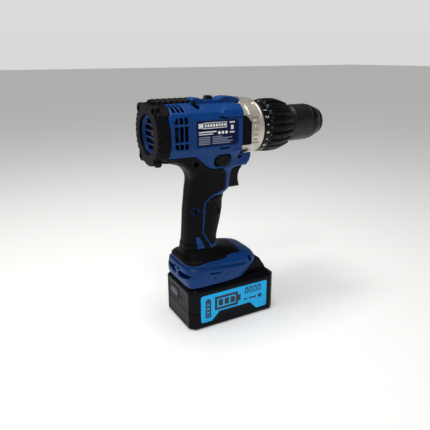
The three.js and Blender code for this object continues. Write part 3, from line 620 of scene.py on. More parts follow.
def housing(x, y, z, step, right):
    outside = body_form(x, y, z, step)
    side = np.abs(y)
    flank = np.maximum(0, 26 - side)
    section = barrel_section(y, z)
    form = either(outside, slab(both(polygon(x, z, SHOULDER_BLOCK), 12 - side), section, 2.7, 0.5))
    form = raise_by(form, both(polygon(x, z, VENT_PANEL), flank), -0.8, 0.7)
    for cx in (-51, -48.4):
        form = raise_by(form, both(band(x, cx, 0.6), band(z, 230, 17)) + flank, -0.7, 0.4)
    form = raise_by(form, polygon(x, z, STICKER) + flank, -0.3, 0.25)
    chips = polygon(x, z, [(0.6, 206.6), (1.4, 211.4), (7, 210.6), (11.3, 209), (11.3, 206.6)])
    form = raise_by(form, both(chips, 20 - side), 1.4, 1.0)
    rim_groove = np.abs(z - 73.4 + 0.075 * x) - 2.6 + np.maximum(0, x - 14) * 0.3
    form = raise_by(form, rim_groove, -2.3, 2.0)
    cuts = [
        line_region(x, z, (-17, 245.4), (-7.6, 245.2), 1.7),
        line_region(x, z, (-16.5, 212.6), (-5, 213), 1.7),
        line_region(x, z, (-32.4, 68.9), (-19.4, 68.2), 1.5),
        np.hypot(x + 26.4, z - 62.7) - 1.1,
        line_region(x, z, (22.6, 77.4), (24.6, 72.4), 3.4),
    ]
    form = carve(form, *[both(region, 18 - side) for region in cuts])
    chin_slot = line_region(x, z, (12.6, 199.1), (15.6, 199.4), 3.2)
    form = carve(form, both(chin_slot, 15.5 - side))
    rear_pocket = polygon(y, z, [(-2, 64.5), (-8, 69.4), (-31, 70.4), (-29, 66), (-12, 61), (-4, 60.6)])
    form = carve(form, both(rear_pocket, x + 51))
    rear_slot = both(band(z, 71, 1.5), band(side, 5, 2.6))
    form = carve(form, both(rear_slot, x + 54))
    skins = either(grip_region(x, z), polygon(x, z, FINGER_PAD))
    skins = either(skins, foot_pad_region(x, y, z), polygon(x, z, REAR_SKIN))
    pocket = both(skins - 0.25, -(outside + SKIN + 0.15))
    form = carve(form, pocket, hollow_form(x, y, z), vents(x, y, z))
    if right:
        form = carve(form, *[both(well, 10.5 - side) for well in screw_wells(x, z)])
    openings = [
        both(radial(y, z) - 29.9, BARREL_FRONT - x),
        box_field(x, y, z, (-25, -5.2, 255), (-10.6, 5.2, 300)),
        box_field(x, y, z, (-90, -7.5, 259), (-41, 7.5, 300)),
        box_field(x, y, z, (-3, -10.2, 160.8), (14, 10.2, 186.4)),
        box_field(x, y, z, (-19.8, -60, 190.4), (1.4, 60, 205), 6.4),
        both(np.hypot(y, z - 194) - 2.9, 24 - x),
        box_field(x, y, z, (-44, -19.4, 0), (FAR, 19.4, 63)),
        box_field(x, y, z, (-44, -22.4, 58.6), (FAR, 22.4, 63)),
        box_field(x, y, z, (-40.4, -14.4, 60), (-13.6, 14.4, 68)),
    ]
    return meet(carve(form, *openings), y + SEAM, 0.3)


def skin_form(x, y, z, step, region, relief=None):
    outside = body_form(x, y, z, step)
    if relief is not None:
        outside = relief(outside, x, y, z)
    return meet(meet(outside - 0.12, region, 0.9), -(outside + SKIN), 0.2)


def grip_relief(field, x, y, z):
    creases = [
        ((-45, 126.6), (-33, 125.4)), ((-42, 157.6), (-29, 157.2)), ((-60, 148), (-46, 147)),
        ((-60, 132), (-47, 131)),
    ]
    for a, b in creases:
        field = raise_by(field, line_region(x, z, a, b, 1.0), -0.8, 0.5)
    field = raise_by(field, ring_region(x, z, NECK_SCREW, 3.9, 1.0), 0.5, 0.4)
    for well in screw_wells(x, z)[:2]:
        field = carve(field, both(well, y + 10.5))
    return field


def pad_relief(field, x, y, z):
    well = np.hypot(x + 11, z - 137)
    field = raise_by(field, well - 3 + np.maximum(0, y + 9), -1.3, 0.5)
    field = raise_by(field, band(well, 3.8, 0.6) + np.maximum(0, y + 9), 0.5, 0.4)
    ends = either(band(z, 152.4, 2.4), band(z, 101.5, 3))
    knurl = 0.3 * np.sin(2.2 * (z + y)) * np.sin(2.2 * (z - y))
    return field - (0.4 + knurl) * np.clip(-ends, 0, 1)


STEP = 0.7  # grid of the largest pieces
HALF_LOW, HALF_HIGH = (BARREL_REAR - 1.5, -37, 53.2), (33.2, 1, 267)


def make_housing():
    for side, right in (("right", True), ("left", False)):
        def form(x, y, z):
            return housing(x, y, z, STEP, right)

        name = "casing_" + side
        field_piece(name, form, HALF_LOW, HALF_HIGH, STEP, BLUE, "housing", ["housing_" + side],
                    mirrored=not right)


def make_grips():
    step = 0.6
    low, high = (-75, -34, 91), (1, 1, 208.5)
    for side in ("right", "left"):
        def form(x, y, z):
            skin = skin_form(x, y, z, step, grip_region(x, z), grip_relief)
            return meet(skin, y + SEAM, 0.3)

        field_piece("grip_skin_" + side, form, low, high, step, RUBBER, "housing", ["grip_" + side],
                    mirrored=side == "left")

    def pad(x, y, z):
        return skin_form(x, y, z, step, polygon(x, z, FINGER_PAD), pad_relief)

    field_piece("finger_skin", pad, (-33, -21, 96.6), (6, 21, 158), step, RUBBER, "housing",
                ["finger_pad"])

    def foot_pad(x, y, z):
        return skin_form(x, y, z, step, foot_pad_region(x, y, z))

    field_piece("foot_skin", foot_pad, (-61, -34, 79), (18, 34, 94), step, RUBBER, "housing")


BUMPER_RADIUS = 32.6
BUMPER_BORE = 21.2
ROPE_LOBES = 32
GRILLE_RADIUS = 20.9
BOSSES = [(side * 20.4, height * 25.8) for side in (-1, 1) for height in (-1, 1)]


def bumper_form(x, y, z):
    """Rubber round the barrel's rear: a skin with a bulged front edge, a roped ring and bosses."""
    angle = np.arctan2(z - AXIS, y)
    section = barrel_section(y, z)
    rope = 0.7 - 1.8 * np.abs(np.sin(ROPE_LOBES / 2 * angle + x * 0.45))
    ring = slab(radial(y, z) - BUMPER_RADIUS + rope, x + 86.25, 2.6, 1.8)
    skin = slab(section - 0.15, x + 76.2, 11, 1.2)
    skin = meet(skin, polygon(x, z, REAR_SKIN), 0.8)
    form = melt(skin, ring, 1.2)
    for boss_y, boss_z in BOSSES:
        boss = slab(np.hypot(y - boss_y, z - AXIS - boss_z) - 5.8, x + 85.7, 3.15, 1.6)
        form = melt(form, boss, 1)
    form = carve(form, both(section + SKIN, -75.8 - x))
    form = carve(form, both(section + 3.5, band(x, -79.9, 4.15)))
    form = carve(form, radial(y, z) - BUMPER_BORE)
    top_gap = both(np.abs(y) - 7.6, 30.2 - (z - AXIS))
    form = carve(form, both(top_gap, -84.5 - x))
    for boss_y, boss_z in BOSSES:
        well = np.hypot(y - boss_y, z - AXIS - boss_z) - 3.3
        form = carve(form, both(well, x + 85.6))
    return form


def grille_form(x, y, z):
    radius = radial(y, z)
    dish = slab(radius - GRILLE_RADIUS, x + 84.3, 1.7, 0.5)
    dish = carve(dish, both(radius - 18.9 + (x + 86) * 0.5, x + 83.9))
    for k in range(-2, 3):
        reach = math.sqrt(16.5**2 - (7 * k) ** 2)
        dish = carve(dish, both(np.abs(z - AXIS - 7 * k) - 2.2, np.abs(y) - reach))
    return dish


def make_rear():
    field_piece("bumper_skin", bumper_form, (-90, -36, 194), (-66, 36, 264), 0.6, RUBBER, "housing",
                ["rear_bumper"])
    # The dish takes the darker blue, painted shade for its recess.
    field_piece("grille_dish", grille_form, (-87, -24.5, 204), (-81.5, 24.5, 254), 0.5, PAINTED_SHADE_BLUE,
                "housing", ["rear_grille"])


def top_strip(x, y, z):
    """A roped rubber strip on the barrel's top."""
    lobes = np.abs(np.sin((x + 0.7 * y) * math.pi / 6.4))
    crown = 262.7 - 0.055 * y * y + 2.6 * lobes
    section = both(np.abs(y) - 7.1, 259.4 - z)
    return meet(both(section, z - crown), band(x, -62.8, 21.4), 0.8)


FLANK_PAD = [(0, 213.4), (22.6, 213.4), (23.4, 214.4), (23.4, 238), (16.4, 245.6), (0, 245.6)]


def side_pad_form(x, y, z):
    pad = barrel(x, y, z, BARREL_FRONT + 0.3, 23.4, 0, 1)
    form = meet(pad, polygon(x, z, FLANK_PAD), 1.4)
    form = carve(form, radial(y, z) - 29.7)
    for k in range(6):
        groove = np.abs(z - 215.8 - 4.9 * k) - 0.5
        form = raise_by(form, both(groove, band(x, 17, 4.4)), -0.7, 0.4)
    return form


def make_trim():
    field_piece("roped_strip", top_strip, (-85, -8, 258.6), (-40.6, 8, 266), 0.4, RUBBER, "housing",
                ["top_pad"])
    for side in ("right", "left"):
        field_piece("flank_pad_" + side, side_pad_form, (11, -32.4, 212.6), (24.2, -14, 246.4), 0.4,
                    RUBBER, "housing", ["side_pad_" + side], mirrored=side == "left")


# ---- gear case, collar and chuck ------------------------------------------------------------
CASE_PANEL = [(26.4, 213.5), (26.4, 244.4), (36.8, 244.4), (36.8, 213.5)]


def case_form(x, y, z):
    radius = radial(y, z)
    drum = slab(radius - 29.4, x - 26.4, 14.4, 0.8)
    rim = slab(radius - 29.9, x - 39.8, 1.2, 0.5)
    tab = slab(polygon(x, z, [(20.4, 250), (40.6, 250), (40.6, 259), (33, 262), (20.4, 264)]), y, 7.4, 1.2)
    form = melt(melt(drum, tab, 1), rim, 0.6)
    side = np.abs(y)
    form = raise_by(form, both(polygon(x, z, CASE_PANEL), 14 - side), -1.5, 0.8)
    for k in range(5):
        rib = both(np.abs(z - 217.4 - 5.4 * k) - 1.0, band(x, 31.4, 3.2))
        form = raise_by(form, both(rib, 14 - side), 1.3, 0.7)
    column = both(band(x, 23, 0.9), band(z, 250.5, 4.6))
    form = raise_by(form, both(column, 10 - side), -1.1, 0.5)
    slot = both(line_region(x, z, (19.6, 256.6), (35.8, 256), 1.1), 9 - side)
    form = raise_by(form, slot, -1.4, 0.4)
    bore = both(radius - 25.7, 29 - x)
    return carve(form, bore, radius - 19.1)


CASE_NECK = [
    (-14.5, 19.0), (-14.5, 21.5), (14, 21.5), (29, 19.05), (29, 17), (64, 17), (64, 15.6), (80.5, 15.6),
    (80.5, 11.2), (70.5, 11.2), (70.5, 7.2), (20.8, 7.2), (20.8, 19.0),
]
COLLAR_RIBS = 20
COLLAR = [
    (41.4, 26.4), (41.4, 29.2), (42.1, 29.9), (49.4, 29.8), (50.4, 28.8), (51.2, 28.6), (52.6, 29.3),
    (54, 29.9), (58, 30.1), (62, 30.1), (66, 30.0), (70, 29.8), (73, 29.2), (76, 28.4), (79, 27.5),
    (82, 26.5), (84.4, 25.6), (84.9, 24.6), (86.4, 24.3), (87.4, 23.8), (COLLAR_FRONT, 23.0),
    (COLLAR_FRONT, 16), (84, 16), (84, 22.8), (80, 22.8), (66, 26.4),
]


def collar_wave(along, angle, radius):
    """Grip ribs: full round crests between narrow grooves, fading in behind the number band."""
    phase = np.cos(COLLAR_RIBS * angle)
    crest = np.clip(phase * 1.6 + 0.75, -1, 1)
    reach = np.clip((along - 51.6) / 2.4, 0, 1) * np.clip((84.8 - along) / 0.4, 0, 1)
    outer = radius > 23.5
    return np.where(outer, reach * (crest * 1.15 - 0.25), 0)


def make_front():
    field_piece("case_shell", case_form, (11.4, -32, 197.4), (41.6, 32, 264.8), 0.5, ALLOY,
                "housing", ["gear_case"])
    lathe_piece("case_neck", CASE_NECK, ALLOY, "housing", sides=64)
    profile = eased(COLLAR, 0.3, 2)
    lathe_piece("torque_ring", profile, BLACK, "torque_collar", ["torque_collar"],
                sides=COLLAR_RIBS * 16, wave=collar_wave)
    sleeve = [
        (89.4, 14.4), (89.4, 21.0), (90.2, 21.9), (92.2, 21.9), (92.6, 21.2), (93.2, 21.2), (93.8, 21.9),
        (104, 22), (112, 22), (118.6, 21.95), (119.6, 21.4), (119.6, 18.7), (95.5, 18.6), (92.5, 16),
        (92.5, 14.4),
    ]
    lathe_piece("sleeve_shell", eased(sleeve, 0.35), SLEEVE_GREY, "chuck_sleeve", ["chuck_sleeve"],
                sides=144)
    nose = [
        (119.7, 18.7), (119.7, 21.0), (120.6, 21.5), (123, 21.1), (126, 20.3), (129, 19.3),
        (131, 18.4), (132.6, 17.4), (132.6, 14.5), (126.4, 14.5), (126.4, 18.6),
    ]
    lathe_piece("sleeve_nose", eased(nose, 0.4), BLACK_STEEL_AND_SHADE, "chuck_sleeve", sides=144)
    field_piece("chuck_core", chuck_form, (88.4, -18, 211), (139.6, 18, 247), 0.4, BLACK_STEEL_AND_SHADE,
                "spindle", ["chuck_body"])
    make_digits()


CHUCK = [
    (89, 6.4), (89, 13.2), (91, 14), (132.8, 14), (133, 17), (135, 16.8), (137.4, 15.8), (138.6, 14.8),
    (139, 13.8), (139, 7.2), (116, 7.2), (116, 2.7), (112.6, 2.7), (112.6, 6.4),
]
JAW_SLOPE = math.tan(math.radians(15))


def chuck_form(x, y, z):
    radius = radial(y, z)
    form = polygon(x, radius, eased(CHUCK, 0.4, 2))
    for k in range(3):
        turn = k * 2 * math.pi / 3
        up = (z - AXIS) * math.cos(turn) - y * math.sin(turn)
        side = y * math.cos(turn) + (z - AXIS) * math.sin(turn)
        middle = 5.4 + (129 - x) * JAW_SLOPE
        slot = both(np.abs(side) - 3.3, band(up, middle, 5.2))
        form = carve(form, both(slot, 94 - x))
    return form


def text_mesh(name, body, size):
    curve = bpy.data.curves.new(name, "FONT")
    curve.body = body
    curve.size = size
    curve.extrude = 0.12
    curve.align_x = "CENTER"
    curve.align_y = "CENTER"
    curve.resolution_u = 4
    holder = bpy.data.objects.new(name, curve)
    mesh = bpy.data.meshes.new_from_object(holder)
    bpy.data.objects.remove(holder)
    return mesh


BAND_STEPS = 22
BAND_RADIUS = 29.92
PIP_RADIUS = 28.9
FIRST_SETTING = 42  # degrees up from the right side
AHEAD = Vector((1, 0, 0))


def collar_spoke(steps):
    """Outward and sideways directions that many steps down from the first setting."""
    angle = math.radians(FIRST_SETTING - steps * 360 / BAND_STEPS)
    out = Vector((0, -math.cos(angle), math.sin(angle)))
    return out, AHEAD.cross(out)


def make_digits():
    """Torque settings round the collar's band: 1 and the even numbers, and a dot for each other odd one."""
    meshes = []
    for k in range(1, BAND_STEPS):
        out, right = collar_spoke(k - 1)
        if k == 1 or k % 2 == 0:
            mesh = text_mesh("digit", str(k), 6.4 if k < 10 else 5)
        else:
            mesh = text_mesh("digit", "\u2022", 6)
        turn = Matrix((right, AHEAD, out)).transposed().to_4x4()
        at = Vector((45.6, 0, AXIS)) + out * BAND_RADIUS
        mesh.transform(Matrix.Scale(MM, 4) @ Matrix.Translation(at) @ turn)
        meshes.append(mesh)
    mesh_piece(joined("collar_digits", meshes), WHITE_INK, "torque_collar")
    pip = eased([(-0.6, 0.01), (0.25, 0.01), (0.25, 0.9), (-0.6, 0.9)], 0.3)
    pips = []
    for k in range(BAND_STEPS):
        out, right = collar_spoke(k + 0.5)
        mesh = lathe_mesh("pip", pip, 16, 0, 0)
        turn = Matrix((out, right, AHEAD)).transposed().to_4x4()
        at = Vector((51.9, 0, AXIS)) + out * PIP_RADIUS
        mesh.transform(Matrix.Translation(at * MM) @ turn)
        pips.append(mesh)
    mesh_piece(joined("collar_pips", pips), GREY, "torque_collar")


# ---- controls -------------------------------------------------------------------------------
def trigger_form(x, y, z):
    t = np.clip((z - 163) / 20.4, 0, 1)
    front = 22.2 - 2 * np.sin(math.pi * t) + 1.8 * t * t + np.clip(z - 181, 0, 4) * 0.5
    front = front - 0.018 * y * y
    outline = both(x - front, 2.6 - x, band(z, 173.6, 12.4))
    form = meet(outline, np.abs(y) - 9.7, 2.4)
    well = both(np.hypot(y, z - 174) - 4.2, x - 13)
    return carve(form, well)


def button_form(x, y, z):
    capsule = np.hypot(np.maximum(band(x, -9.2, 2.6), 0), z - 197.7) - 6.5
    form = slab(capsule, y, 24, 1.2)
    arrow = polygon(x, z, [(-11.5, 197.5), (-6, 200.6), (-6, 194.4)])
    form = raise_by(form, both(arrow, 22 - np.abs(y)), -0.6, 0.4)
    return form


def selector_form(x, y, z):
    thumb = slab(polygon(x, z, [(-19.6, 262), (-18.8, 266.3), (-12.4, 266.3), (-11.6, 262)]), y, 4.4, 0.7)
    for k in range(3):
        groove = both(np.abs(x + 17.4 - 1.8 * k) - 0.35, 265 - z)
        thumb = carve(thumb, both(groove, np.abs(y) - 3.6))
    stem = box_field(x, y, z, (-17.6, -3, 253.4), (-13.6, 3, 263), 0.3)
    arm = box_field(x, y, z, (-17.6, -3, 252.2), (4.2, 3, 254), 0.3)
    fork = box_field(x, y, z, (2.8, -3, AXIS + 18), (4.2, 3, 254), 0.3)
    return either(thumb, stem, arm, fork)


def screw_mesh(name, radius, axis, at):
    """A cross-recessed pan head, facing along axis."""
    step = 0.16
    low = (-0.4, -radius - 0.6, -radius - 0.6)
    x, y, z = block(low, (1.9, radius + 0.6, radius + 0.6), step)
    dome = np.sqrt((x + 3.2 * radius - 1.5) ** 2 + y * y + z * z) - 3.2 * radius
    form = meet(dome, both(np.hypot(y, z) - radius, -x), 0.3)
    cross = either(
        both(np.abs(y) - 0.42, np.abs(z) - radius * 0.55),
        both(np.abs(z) - 0.42, np.abs(y) - radius * 0.55),
    )
    form = carve(form, both(cross, 0.5 - x))
    mesh = mesh_of(name, *surface_nets(np.ascontiguousarray(form), low, step))
    turn = Vector((1, 0, 0)).rotation_difference(Vector(axis)).to_matrix().to_4x4()
    mesh.transform(Matrix.Translation(Vector(at) * MM) @ turn)
    return mesh


def make_controls():
    field_piece("trigger_blade", trigger_form, (1.6, -11, 159.6), (26, 11, 187.4), 0.4, BLACK, "trigger",
                ["trigger"])
    field_piece("reverse_button", button_form, (-19.4, -25, 190.2), (1.4, 25, 205.4), 0.4, BLACK,
                "direction_button", ["direction_button"])
    field_piece("gear_selector", selector_form, (-20.4, -5.2, 246), (5, 5.2, 266.8), 0.3, BLACK,
                "speed_selector", ["speed_selector"])
    lens = [(24.5, 0.02), (24.5, 2.6), (29, 2.6), (30, 1.9), (30.4, 0.9), (30.4, 0.02)]
    lathe_piece("lamp_lens", eased(lens, 0.3), LENS, "housing", ["led_lens"], sides=32, z=194)
    screws = [screw_mesh("screw", 2.6, (-1, 0, 0), (-84, u, AXIS + w)) for u, w in BOSSES]
    sides = ((HANDLE_SCREW, 2.7, -11), (NECK_SCREW, 2.6, -11.5), (TOP_SCREW, 3.2, -10))
    for (at_x, at_z), radius, depth in sides:
        screws.append(screw_mesh("screw", radius, (0, -1, 0), (at_x, depth, at_z)))
    mesh_piece(joined("casing_screws", screws), BLACK_STEEL_AND_SHADE, "housing")


# ---- battery pack ---------------------------------------------------------------------------
def pack_section(x, y, inset):
    hx, hy = PACK["length"] / 2, PACK["width"] / 2
    corner = PACK["corner"]
    flat = both(np.abs(x) - hx, np.abs(y) - hy)
    cut = (np.abs(x) + np.abs(y) - (hx + hy - corner)) / math.sqrt(2)
    return meet(flat, cut, 0.8) + inset


LABEL = {"rear": -46, "front": 46.6, "low": 8.2, "high": 43.4, "round": 3.0}


def label_region(x, z):
    mid_x = (LABEL["rear"] + LABEL["front"]) / 2
    mid_z = (LABEL["low"] + LABEL["high"]) / 2
    dx = np.abs(x - mid_x) - (LABEL["front"] - LABEL["rear"]) / 2 + LABEL["round"]
    dz = np.abs(z - mid_z) - (LABEL["high"] - LABEL["low"]) / 2 + LABEL["round"]
    plate = np.hypot(np.maximum(dx, 0), np.maximum(dz, 0)) + np.minimum(both(dx, dz), 0)
    notch = polygon(x, z, [(-34, 5)] + LABEL_NOTCH + [(34, 5)])
    return both(plate - LABEL["round"], -notch)


def pack_outside(x, y, z):
    slope = np.clip(z - PACK["side"], 0, None) * 1.15
    bottom = np.clip(2.2 - z, 0, None)
    sides = pack_section(x, y, 0) + slope + bottom
    form = meet(sides, both(z - PACK["top"], -z), 0.9)
    side = np.abs(y)
    form = raise_by(form, both(label_region(x, z) - 0.25, 34 - side), -0.35, 0.25)
    notch = polygon(x, z, [(-30, 2.8), (-20.4, 16.6), (21.4, 16.6), (30, 2.8)])
    form = raise_by(form, both(notch, 34 - side), -0.5, 0.8)
    for cx in (-51.8, 51.8):
        groove = both(band(x, cx, 0.5), band(z, 25, 19)) + np.maximum(0, 34 - side)
        form = raise_by(form, groove, -0.5, 0.4)
    rear_panel = polygon(y, z, [(-26, 5), (-26, 44), (26, 44), (26, 5)])
    form = raise_by(form, both(rear_panel, x + 55), -0.5, 0.6)
    return form


def pack_inside(x, y, z):
    return both(pack_section(x, y, 2.2) + np.clip(z - 46, 0, None), 2.2 - z, z - 51.2)


def pack_base_form(x, y, z):
    form = carve(pack_outside(x, y, z), pack_inside(x, y, z))
    return meet(form, z - PACK["split"], 0.3)


def prow_form(x, y, z):
    outline = [(20, 51), (21.5, 56.2), (26.2, 59.6), (40.4, 69.4), (42.6, 69.4), (50.4, 58), (53.4, 51)]
    return slab(polygon(x, z, outline), y, 24, 1.6)


def pack_cover_form(x, y, z):
    form = melt(pack_outside(x, y, z), prow_form(x, y, z), 1.2)
    form = either(form, box_field(x, y, z, (-42, -19, 50), (24, 19, 62), 0.4))
    form = either(form, box_field(x, y, z, (-42, -22, 59), (24, 22, 62), 0.4))
    form = carve(form, pack_inside(x, y, z), box_field(x, y, z, (-38, -16, 49), (20, 16, 60)))
    for cy in (-9, -3, 3, 9):
        form = carve(form, box_field(x, y, z, (-44, cy - 1.2, 55.5), (-22, cy + 1.2, 70)))
    form = carve(form, box_field(x, y, z, (49.6, -14.4, 29.6), (62, 14.4, 46.4)))
    form = carve(form, box_field(x, y, z, (-62, -1.3, 25.7), (-55.4, 21.3, 41.3)))
    form = carve(form, both(np.hypot(y + 7.5, z - 33) - 2.6, x + 57.2))
    return meet(form, PACK["split"] + 0.1 - z, 0.2)


def rectangle(x0, x1, z0, z1):
    return [(x0, z0), (x1, z0), (x1, z1), (x0, z1)]


def outlined(x0, x1, z0, z1, line):
    return [
        rectangle(x0, x1, z0, z0 + line), rectangle(x0, x1, z1 - line, z1),
        rectangle(x0, x0 + line, z0 + line, z1 - line), rectangle(x1 - line, x1, z0 + line, z1 - line),
    ]


def disc(cx, cz, radius, sides=20):
    turns = [2 * math.pi * k / sides for k in range(sides)]
    return [(cx + radius * math.cos(t), cz + radius * math.sin(t)) for t in turns]


def label_art():
    """Generic pictograms: an upright cell, a large charge symbol, four cells and a polarity row."""
    art = outlined(-40, -32.5, 13.5, 36.5, 2.0) + [rectangle(-38, -34.5, 36.5, 38.6)]
    art += [rectangle(-37.7, -34.8, 16 + 5 * k, 19.4 + 5 * k) for k in range(4)]
    art += outlined(-27.5, 4.5, 20.6, 38.4, 3.2) + [rectangle(4.5, 8.4, 25.4, 33.6)]
    art += [rectangle(-22.4 + 8.2 * k, -16.2 + 8.2 * k, 25.4, 33.6) for k in range(3)]
    for k in range(4):
        x0 = 14.5 + 6.2 * k
        art += outlined(x0, x0 + 4.8, 32, 39.4, 1.3) + [rectangle(x0 + 1.4, x0 + 3.4, 39.4, 40.6)]
    art += [rectangle(13, 18, 23.6, 25.8), rectangle(20.6, 31, 23.6, 25.8)]
    art += [rectangle(33, 39.6, 23.6, 25.8), rectangle(35.2, 37.4, 21.4, 28)]
    return art


def sticker_art():
    """White frame with a square mark and blocks, rules and round marks, in place of print."""
    white = outlined(-44, -9.4, 235, 241.4, 0.7) + [rectangle(-44, -37.6, 235, 241.4)]
    white += [rectangle(-36 + 3.3 * k, -33.7 + 3.3 * k, 236.7, 239.7) for k in range(8)]
    white += [rectangle(-43, -22, 231, 232.2), rectangle(-43, -26, 228.8, 229.8)]
    white += [disc(-18.6 + 4.4 * k, 230, 1.7) for k in range(3)]
    white += [rectangle(-6, 0.6, 239.4, 241), rectangle(-4.4, -1, 232.6, 237.2)]
    white += [rectangle(-5.6, 0.2, 229, 230.4)]
    grey = [rectangle(-43, -29.5, 218.4 + 1.8 * k, 219.5 + 1.8 * k) for k in range(5)]
    widths = (22, 25, 19, 24, 12)
    grey += [rectangle(-27, -27 + w, 218.4 + 1.8 * k, 219.4 + 1.8 * k) for k, w in enumerate(widths)]
    return white, grey


def make_pack():
    hx, hy = PACK["length"] / 2 + 1, PACK["width"] / 2 + 1
    split = PACK["split"]
    field_piece("pack_tray", pack_base_form, (-hx, -hy, -1), (hx, hy, split + 1), STEP, PACK_BLACK,
                "battery_pack", ["pack_base"])
    field_piece("pack_shell", pack_cover_form, (-hx, -hy, split - 1), (hx, hy, 71), STEP, PACK_BLACK,
                "battery_pack", ["pack_cover"])
    wall = PACK["width"] / 2
    for side, word in ((-1, "right"), (1, "left")):
        centre = side * (wall - 0.2)

        def film(x, y, z):
            return slab(label_region(x, z), y - centre, 0.18, 0.1)

        field_piece("pack_label_" + word, film, (-47, centre - 0.6, 7), (48, centre + 0.6, 45), 0.3, CYAN,
                    "battery_pack")
        art = plates_mesh("pack_art_" + word, label_art(), side, wall - 0.02, 0.02)
        mesh_piece(art, DARK_INK, "battery_pack")
    field_piece("pack_release", release_form, (53, -15, 29), (59.4, 15, 47), 0.4, BLACK, "release_button",
                ["release_button"])
    field_piece("charge_window", gauge_form, (-59.6, -2, 25), (-55, 22, 42), 0.3, BLACK, "battery_pack",
                ["gauge_panel"])
    bars = [rectangle(1.6 + 3.6 * k, 3.4 + 3.6 * k, 31, 37) for k in range(4)]
    marks = plates_mesh("charge_marks", bars + [disc(17.6, 34, 1.9)], 1, 58.84, 0.08)
    marks.transform(Matrix.Rotation(math.radians(90), 4, "Z"))
    mesh_piece(marks, GREY_INK, "battery_pack")
    knob = eased([(-58.9, 0.02), (-58.9, 1.9), (-57, 2.2), (-56, 2.2), (-56, 0.02)], 0.3)
    lathe_piece("charge_button", knob, BLACK, "battery_pack", sides=28, y=-7.5, z=33)


def release_form(x, y, z):
    form = box_field(x, y, z, (54, -14, 30), (59, 14, 46), 1.2)
    for k in range(4):
        groove = both(np.abs(z - 34 - 2.8 * k) - 0.5, 58.2 - x)
        form = carve(form, both(groove, np.abs(y) - 11))
    return form


def gauge_form(x, y, z):
    form = box_field(x, y, z, (-58.95, -0.9, 26.1), (-55.9, 20.9, 40.9), 0.8)
    inner = box_field(x, y, z, (-60, 0.4, 28.4), (-58.6, 19.6, 38.8), 0.3)
    return carve(form, inner)


def make_sticker():
    white, grey = sticker_art()
    for side, word in ((-1, "right"), (1, "left")):
        film = plates_mesh("type_plate_" + word, [STICKER], side, FLANK - 0.18, 0.1)
        mesh_piece(film, NAVY, "housing")
        for art, ink, name in ((white, WHITE_INK, "plate_white_"), (grey, GREY_INK, "plate_grey_")):
            mesh = plates_mesh(name + word, art, side, FLANK - 0.06, 0.03)
            mesh_piece(mesh, ink, "housing")


# ---- carried-over nodes ---------------------------------------------------------------------
def dress_frame():
    """Materials for the frame's own nodes, by the record's slot, except the motor's nodes, which are made
    black as painted shade inside the housing.
    """
    slots = {row["node"]: row["material_slot"] for row in frame["record"]["subparts"]}
    for name, node in frame["nodes"].items():
        node.data.materials.clear()
        # The motor's nodes take the black as painted shade: they sit in shade inside the housing, seen
        # through the grille and vents.
        node.data.materials.append(BLACK_STEEL_AND_SHADE if name.startswith("motor") else LOOKS[slots[name]])


# ---- camera, lights and floor ---------------------------------------------------------------
CAMERA = {"azimuth": 28.89, "pitch": 18.82, "roll": -0.21, "distance": 0.5609, "focal_px": 467.7}
LOOK_AT = Vector((-0.0069, 0, 0.1264))
IMAGE = 430
FLOOR_REACH = 12.0
FLOOR_GLOW = 0.26


def make_camera():
    turn, tip, roll = (math.radians(CAMERA[k]) for k in ("azimuth", "pitch", "roll"))
    back = Vector((-math.sin(turn) * math.cos(tip), -math.cos(turn) * math.cos(tip), math.sin(tip)))
    right = (-back).cross(Vector((0, 0, 1))).normalized()
    up = right.cross(-back)
    tilted_right = right * math.cos(roll) + up * math.sin(roll)
    tilted_up = up * math.cos(roll) - right * math.sin(roll)
    data = bpy.data.cameras.new("camera")
    data.sensor_width = 36
    data.lens = data.sensor_width * CAMERA["focal_px"] / IMAGE
    data.clip_start = 0.01
    camera = bpy.data.objects.new("camera", data)
    bpy.context.scene.collection.objects.link(camera)
    pose = Matrix((tilted_right, tilted_up, back)).transposed().to_4x4()
    camera.matrix_world = Matrix.Translation(LOOK_AT + back * CAMERA["distance"]) @ pose
    bpy.context.scene.camera = camera


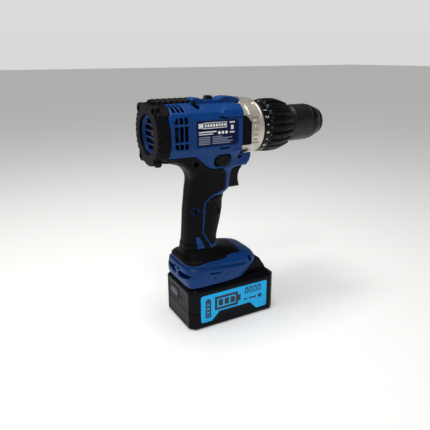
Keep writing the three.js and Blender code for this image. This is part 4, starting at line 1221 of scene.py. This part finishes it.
def floor_paper():
    """Plain white paper, a little brighter than the lights alone make it."""
    make = Nodes("floor_paper", specular=0.1)
    white = make.ramp(make.noise(24, 4), [(0.3, (0.91, 0.91, 0.89)), (0.7, (0.925, 0.925, 0.905))])
    make.shader.inputs["Emission Color"].default_value = (1, 1, 0.985, 1)
    make.shader.inputs["Emission Strength"].default_value = FLOOR_GLOW
    return make.done(white, make.spread(make.noise(3, 5), 0.75, 0.85))


def make_stage():
    corners = [(-1, -1), (1, -1), (1, 1), (-1, 1)]
    work = bmesh.new()
    work.faces.new([work.verts.new((u * FLOOR_REACH, v * FLOOR_REACH, 0)) for u, v in corners])
    mesh = mesh_from("floor", work)
    mesh.materials.append(floor_paper())
    object_of(mesh)


def area_light(name, at, aim, size, power):
    data = bpy.data.lights.new(name, "AREA")
    data.shape = "RECTANGLE"
    data.size, data.size_y = size
    data.energy = power
    light = bpy.data.objects.new(name, data)
    light.location = at
    light.rotation_euler = (Vector(aim) - Vector(at)).to_track_quat("-Z", "Y").to_euler()
    bpy.context.scene.collection.objects.link(light)


def make_lights():
    world = bpy.data.worlds.new("studio")
    bpy.context.scene.view_settings.view_transform = "Standard"
    bpy.context.scene.world = world
    world.use_nodes = True
    tree = world.node_tree
    backdrop = tree.nodes["Background"]
    place = tree.nodes.new("ShaderNodeTexCoord")
    parts = tree.nodes.new("ShaderNodeSeparateXYZ")
    ramp = tree.nodes.new("ShaderNodeValToRGB")
    tree.links.new(place.outputs["Generated"], parts.inputs[0])
    tree.links.new(parts.outputs["Z"], ramp.inputs["Fac"])
    tree.links.new(ramp.outputs["Color"], backdrop.inputs["Color"])
    stops = [(0.0, 0.69), (0.1, 0.72), (0.24, 0.2), (0.4, 0.06), (0.85, 0.2)]
    for _ in stops[2:]:
        ramp.color_ramp.elements.new(0.5)
    for element, (at, level) in zip(ramp.color_ramp.elements, stops):
        element.position = at
        element.color = (level, level, level, 1)
    area_light("overhead", (-0.15, 0.0, 1.0), (0, 0, 0.1), (0.45, 0.3), 6)
    area_light("front", (-0.27, -0.44, 0.95), (0, 0, 0.15), (0.2, 0.2), 1.4)
    area_light("rear_strip", (-0.8, 0.3, 0.5), (-0.05, 0, 0.2), (0.3, 0.5), 0.6)


# ---- the whole ------------------------------------------------------------------------------
make_camera()
make_stage()
make_lights()
dress_frame()
make_housing()
make_grips()
make_rear()
make_trim()
make_front()
make_controls()
make_pack()
make_sticker()
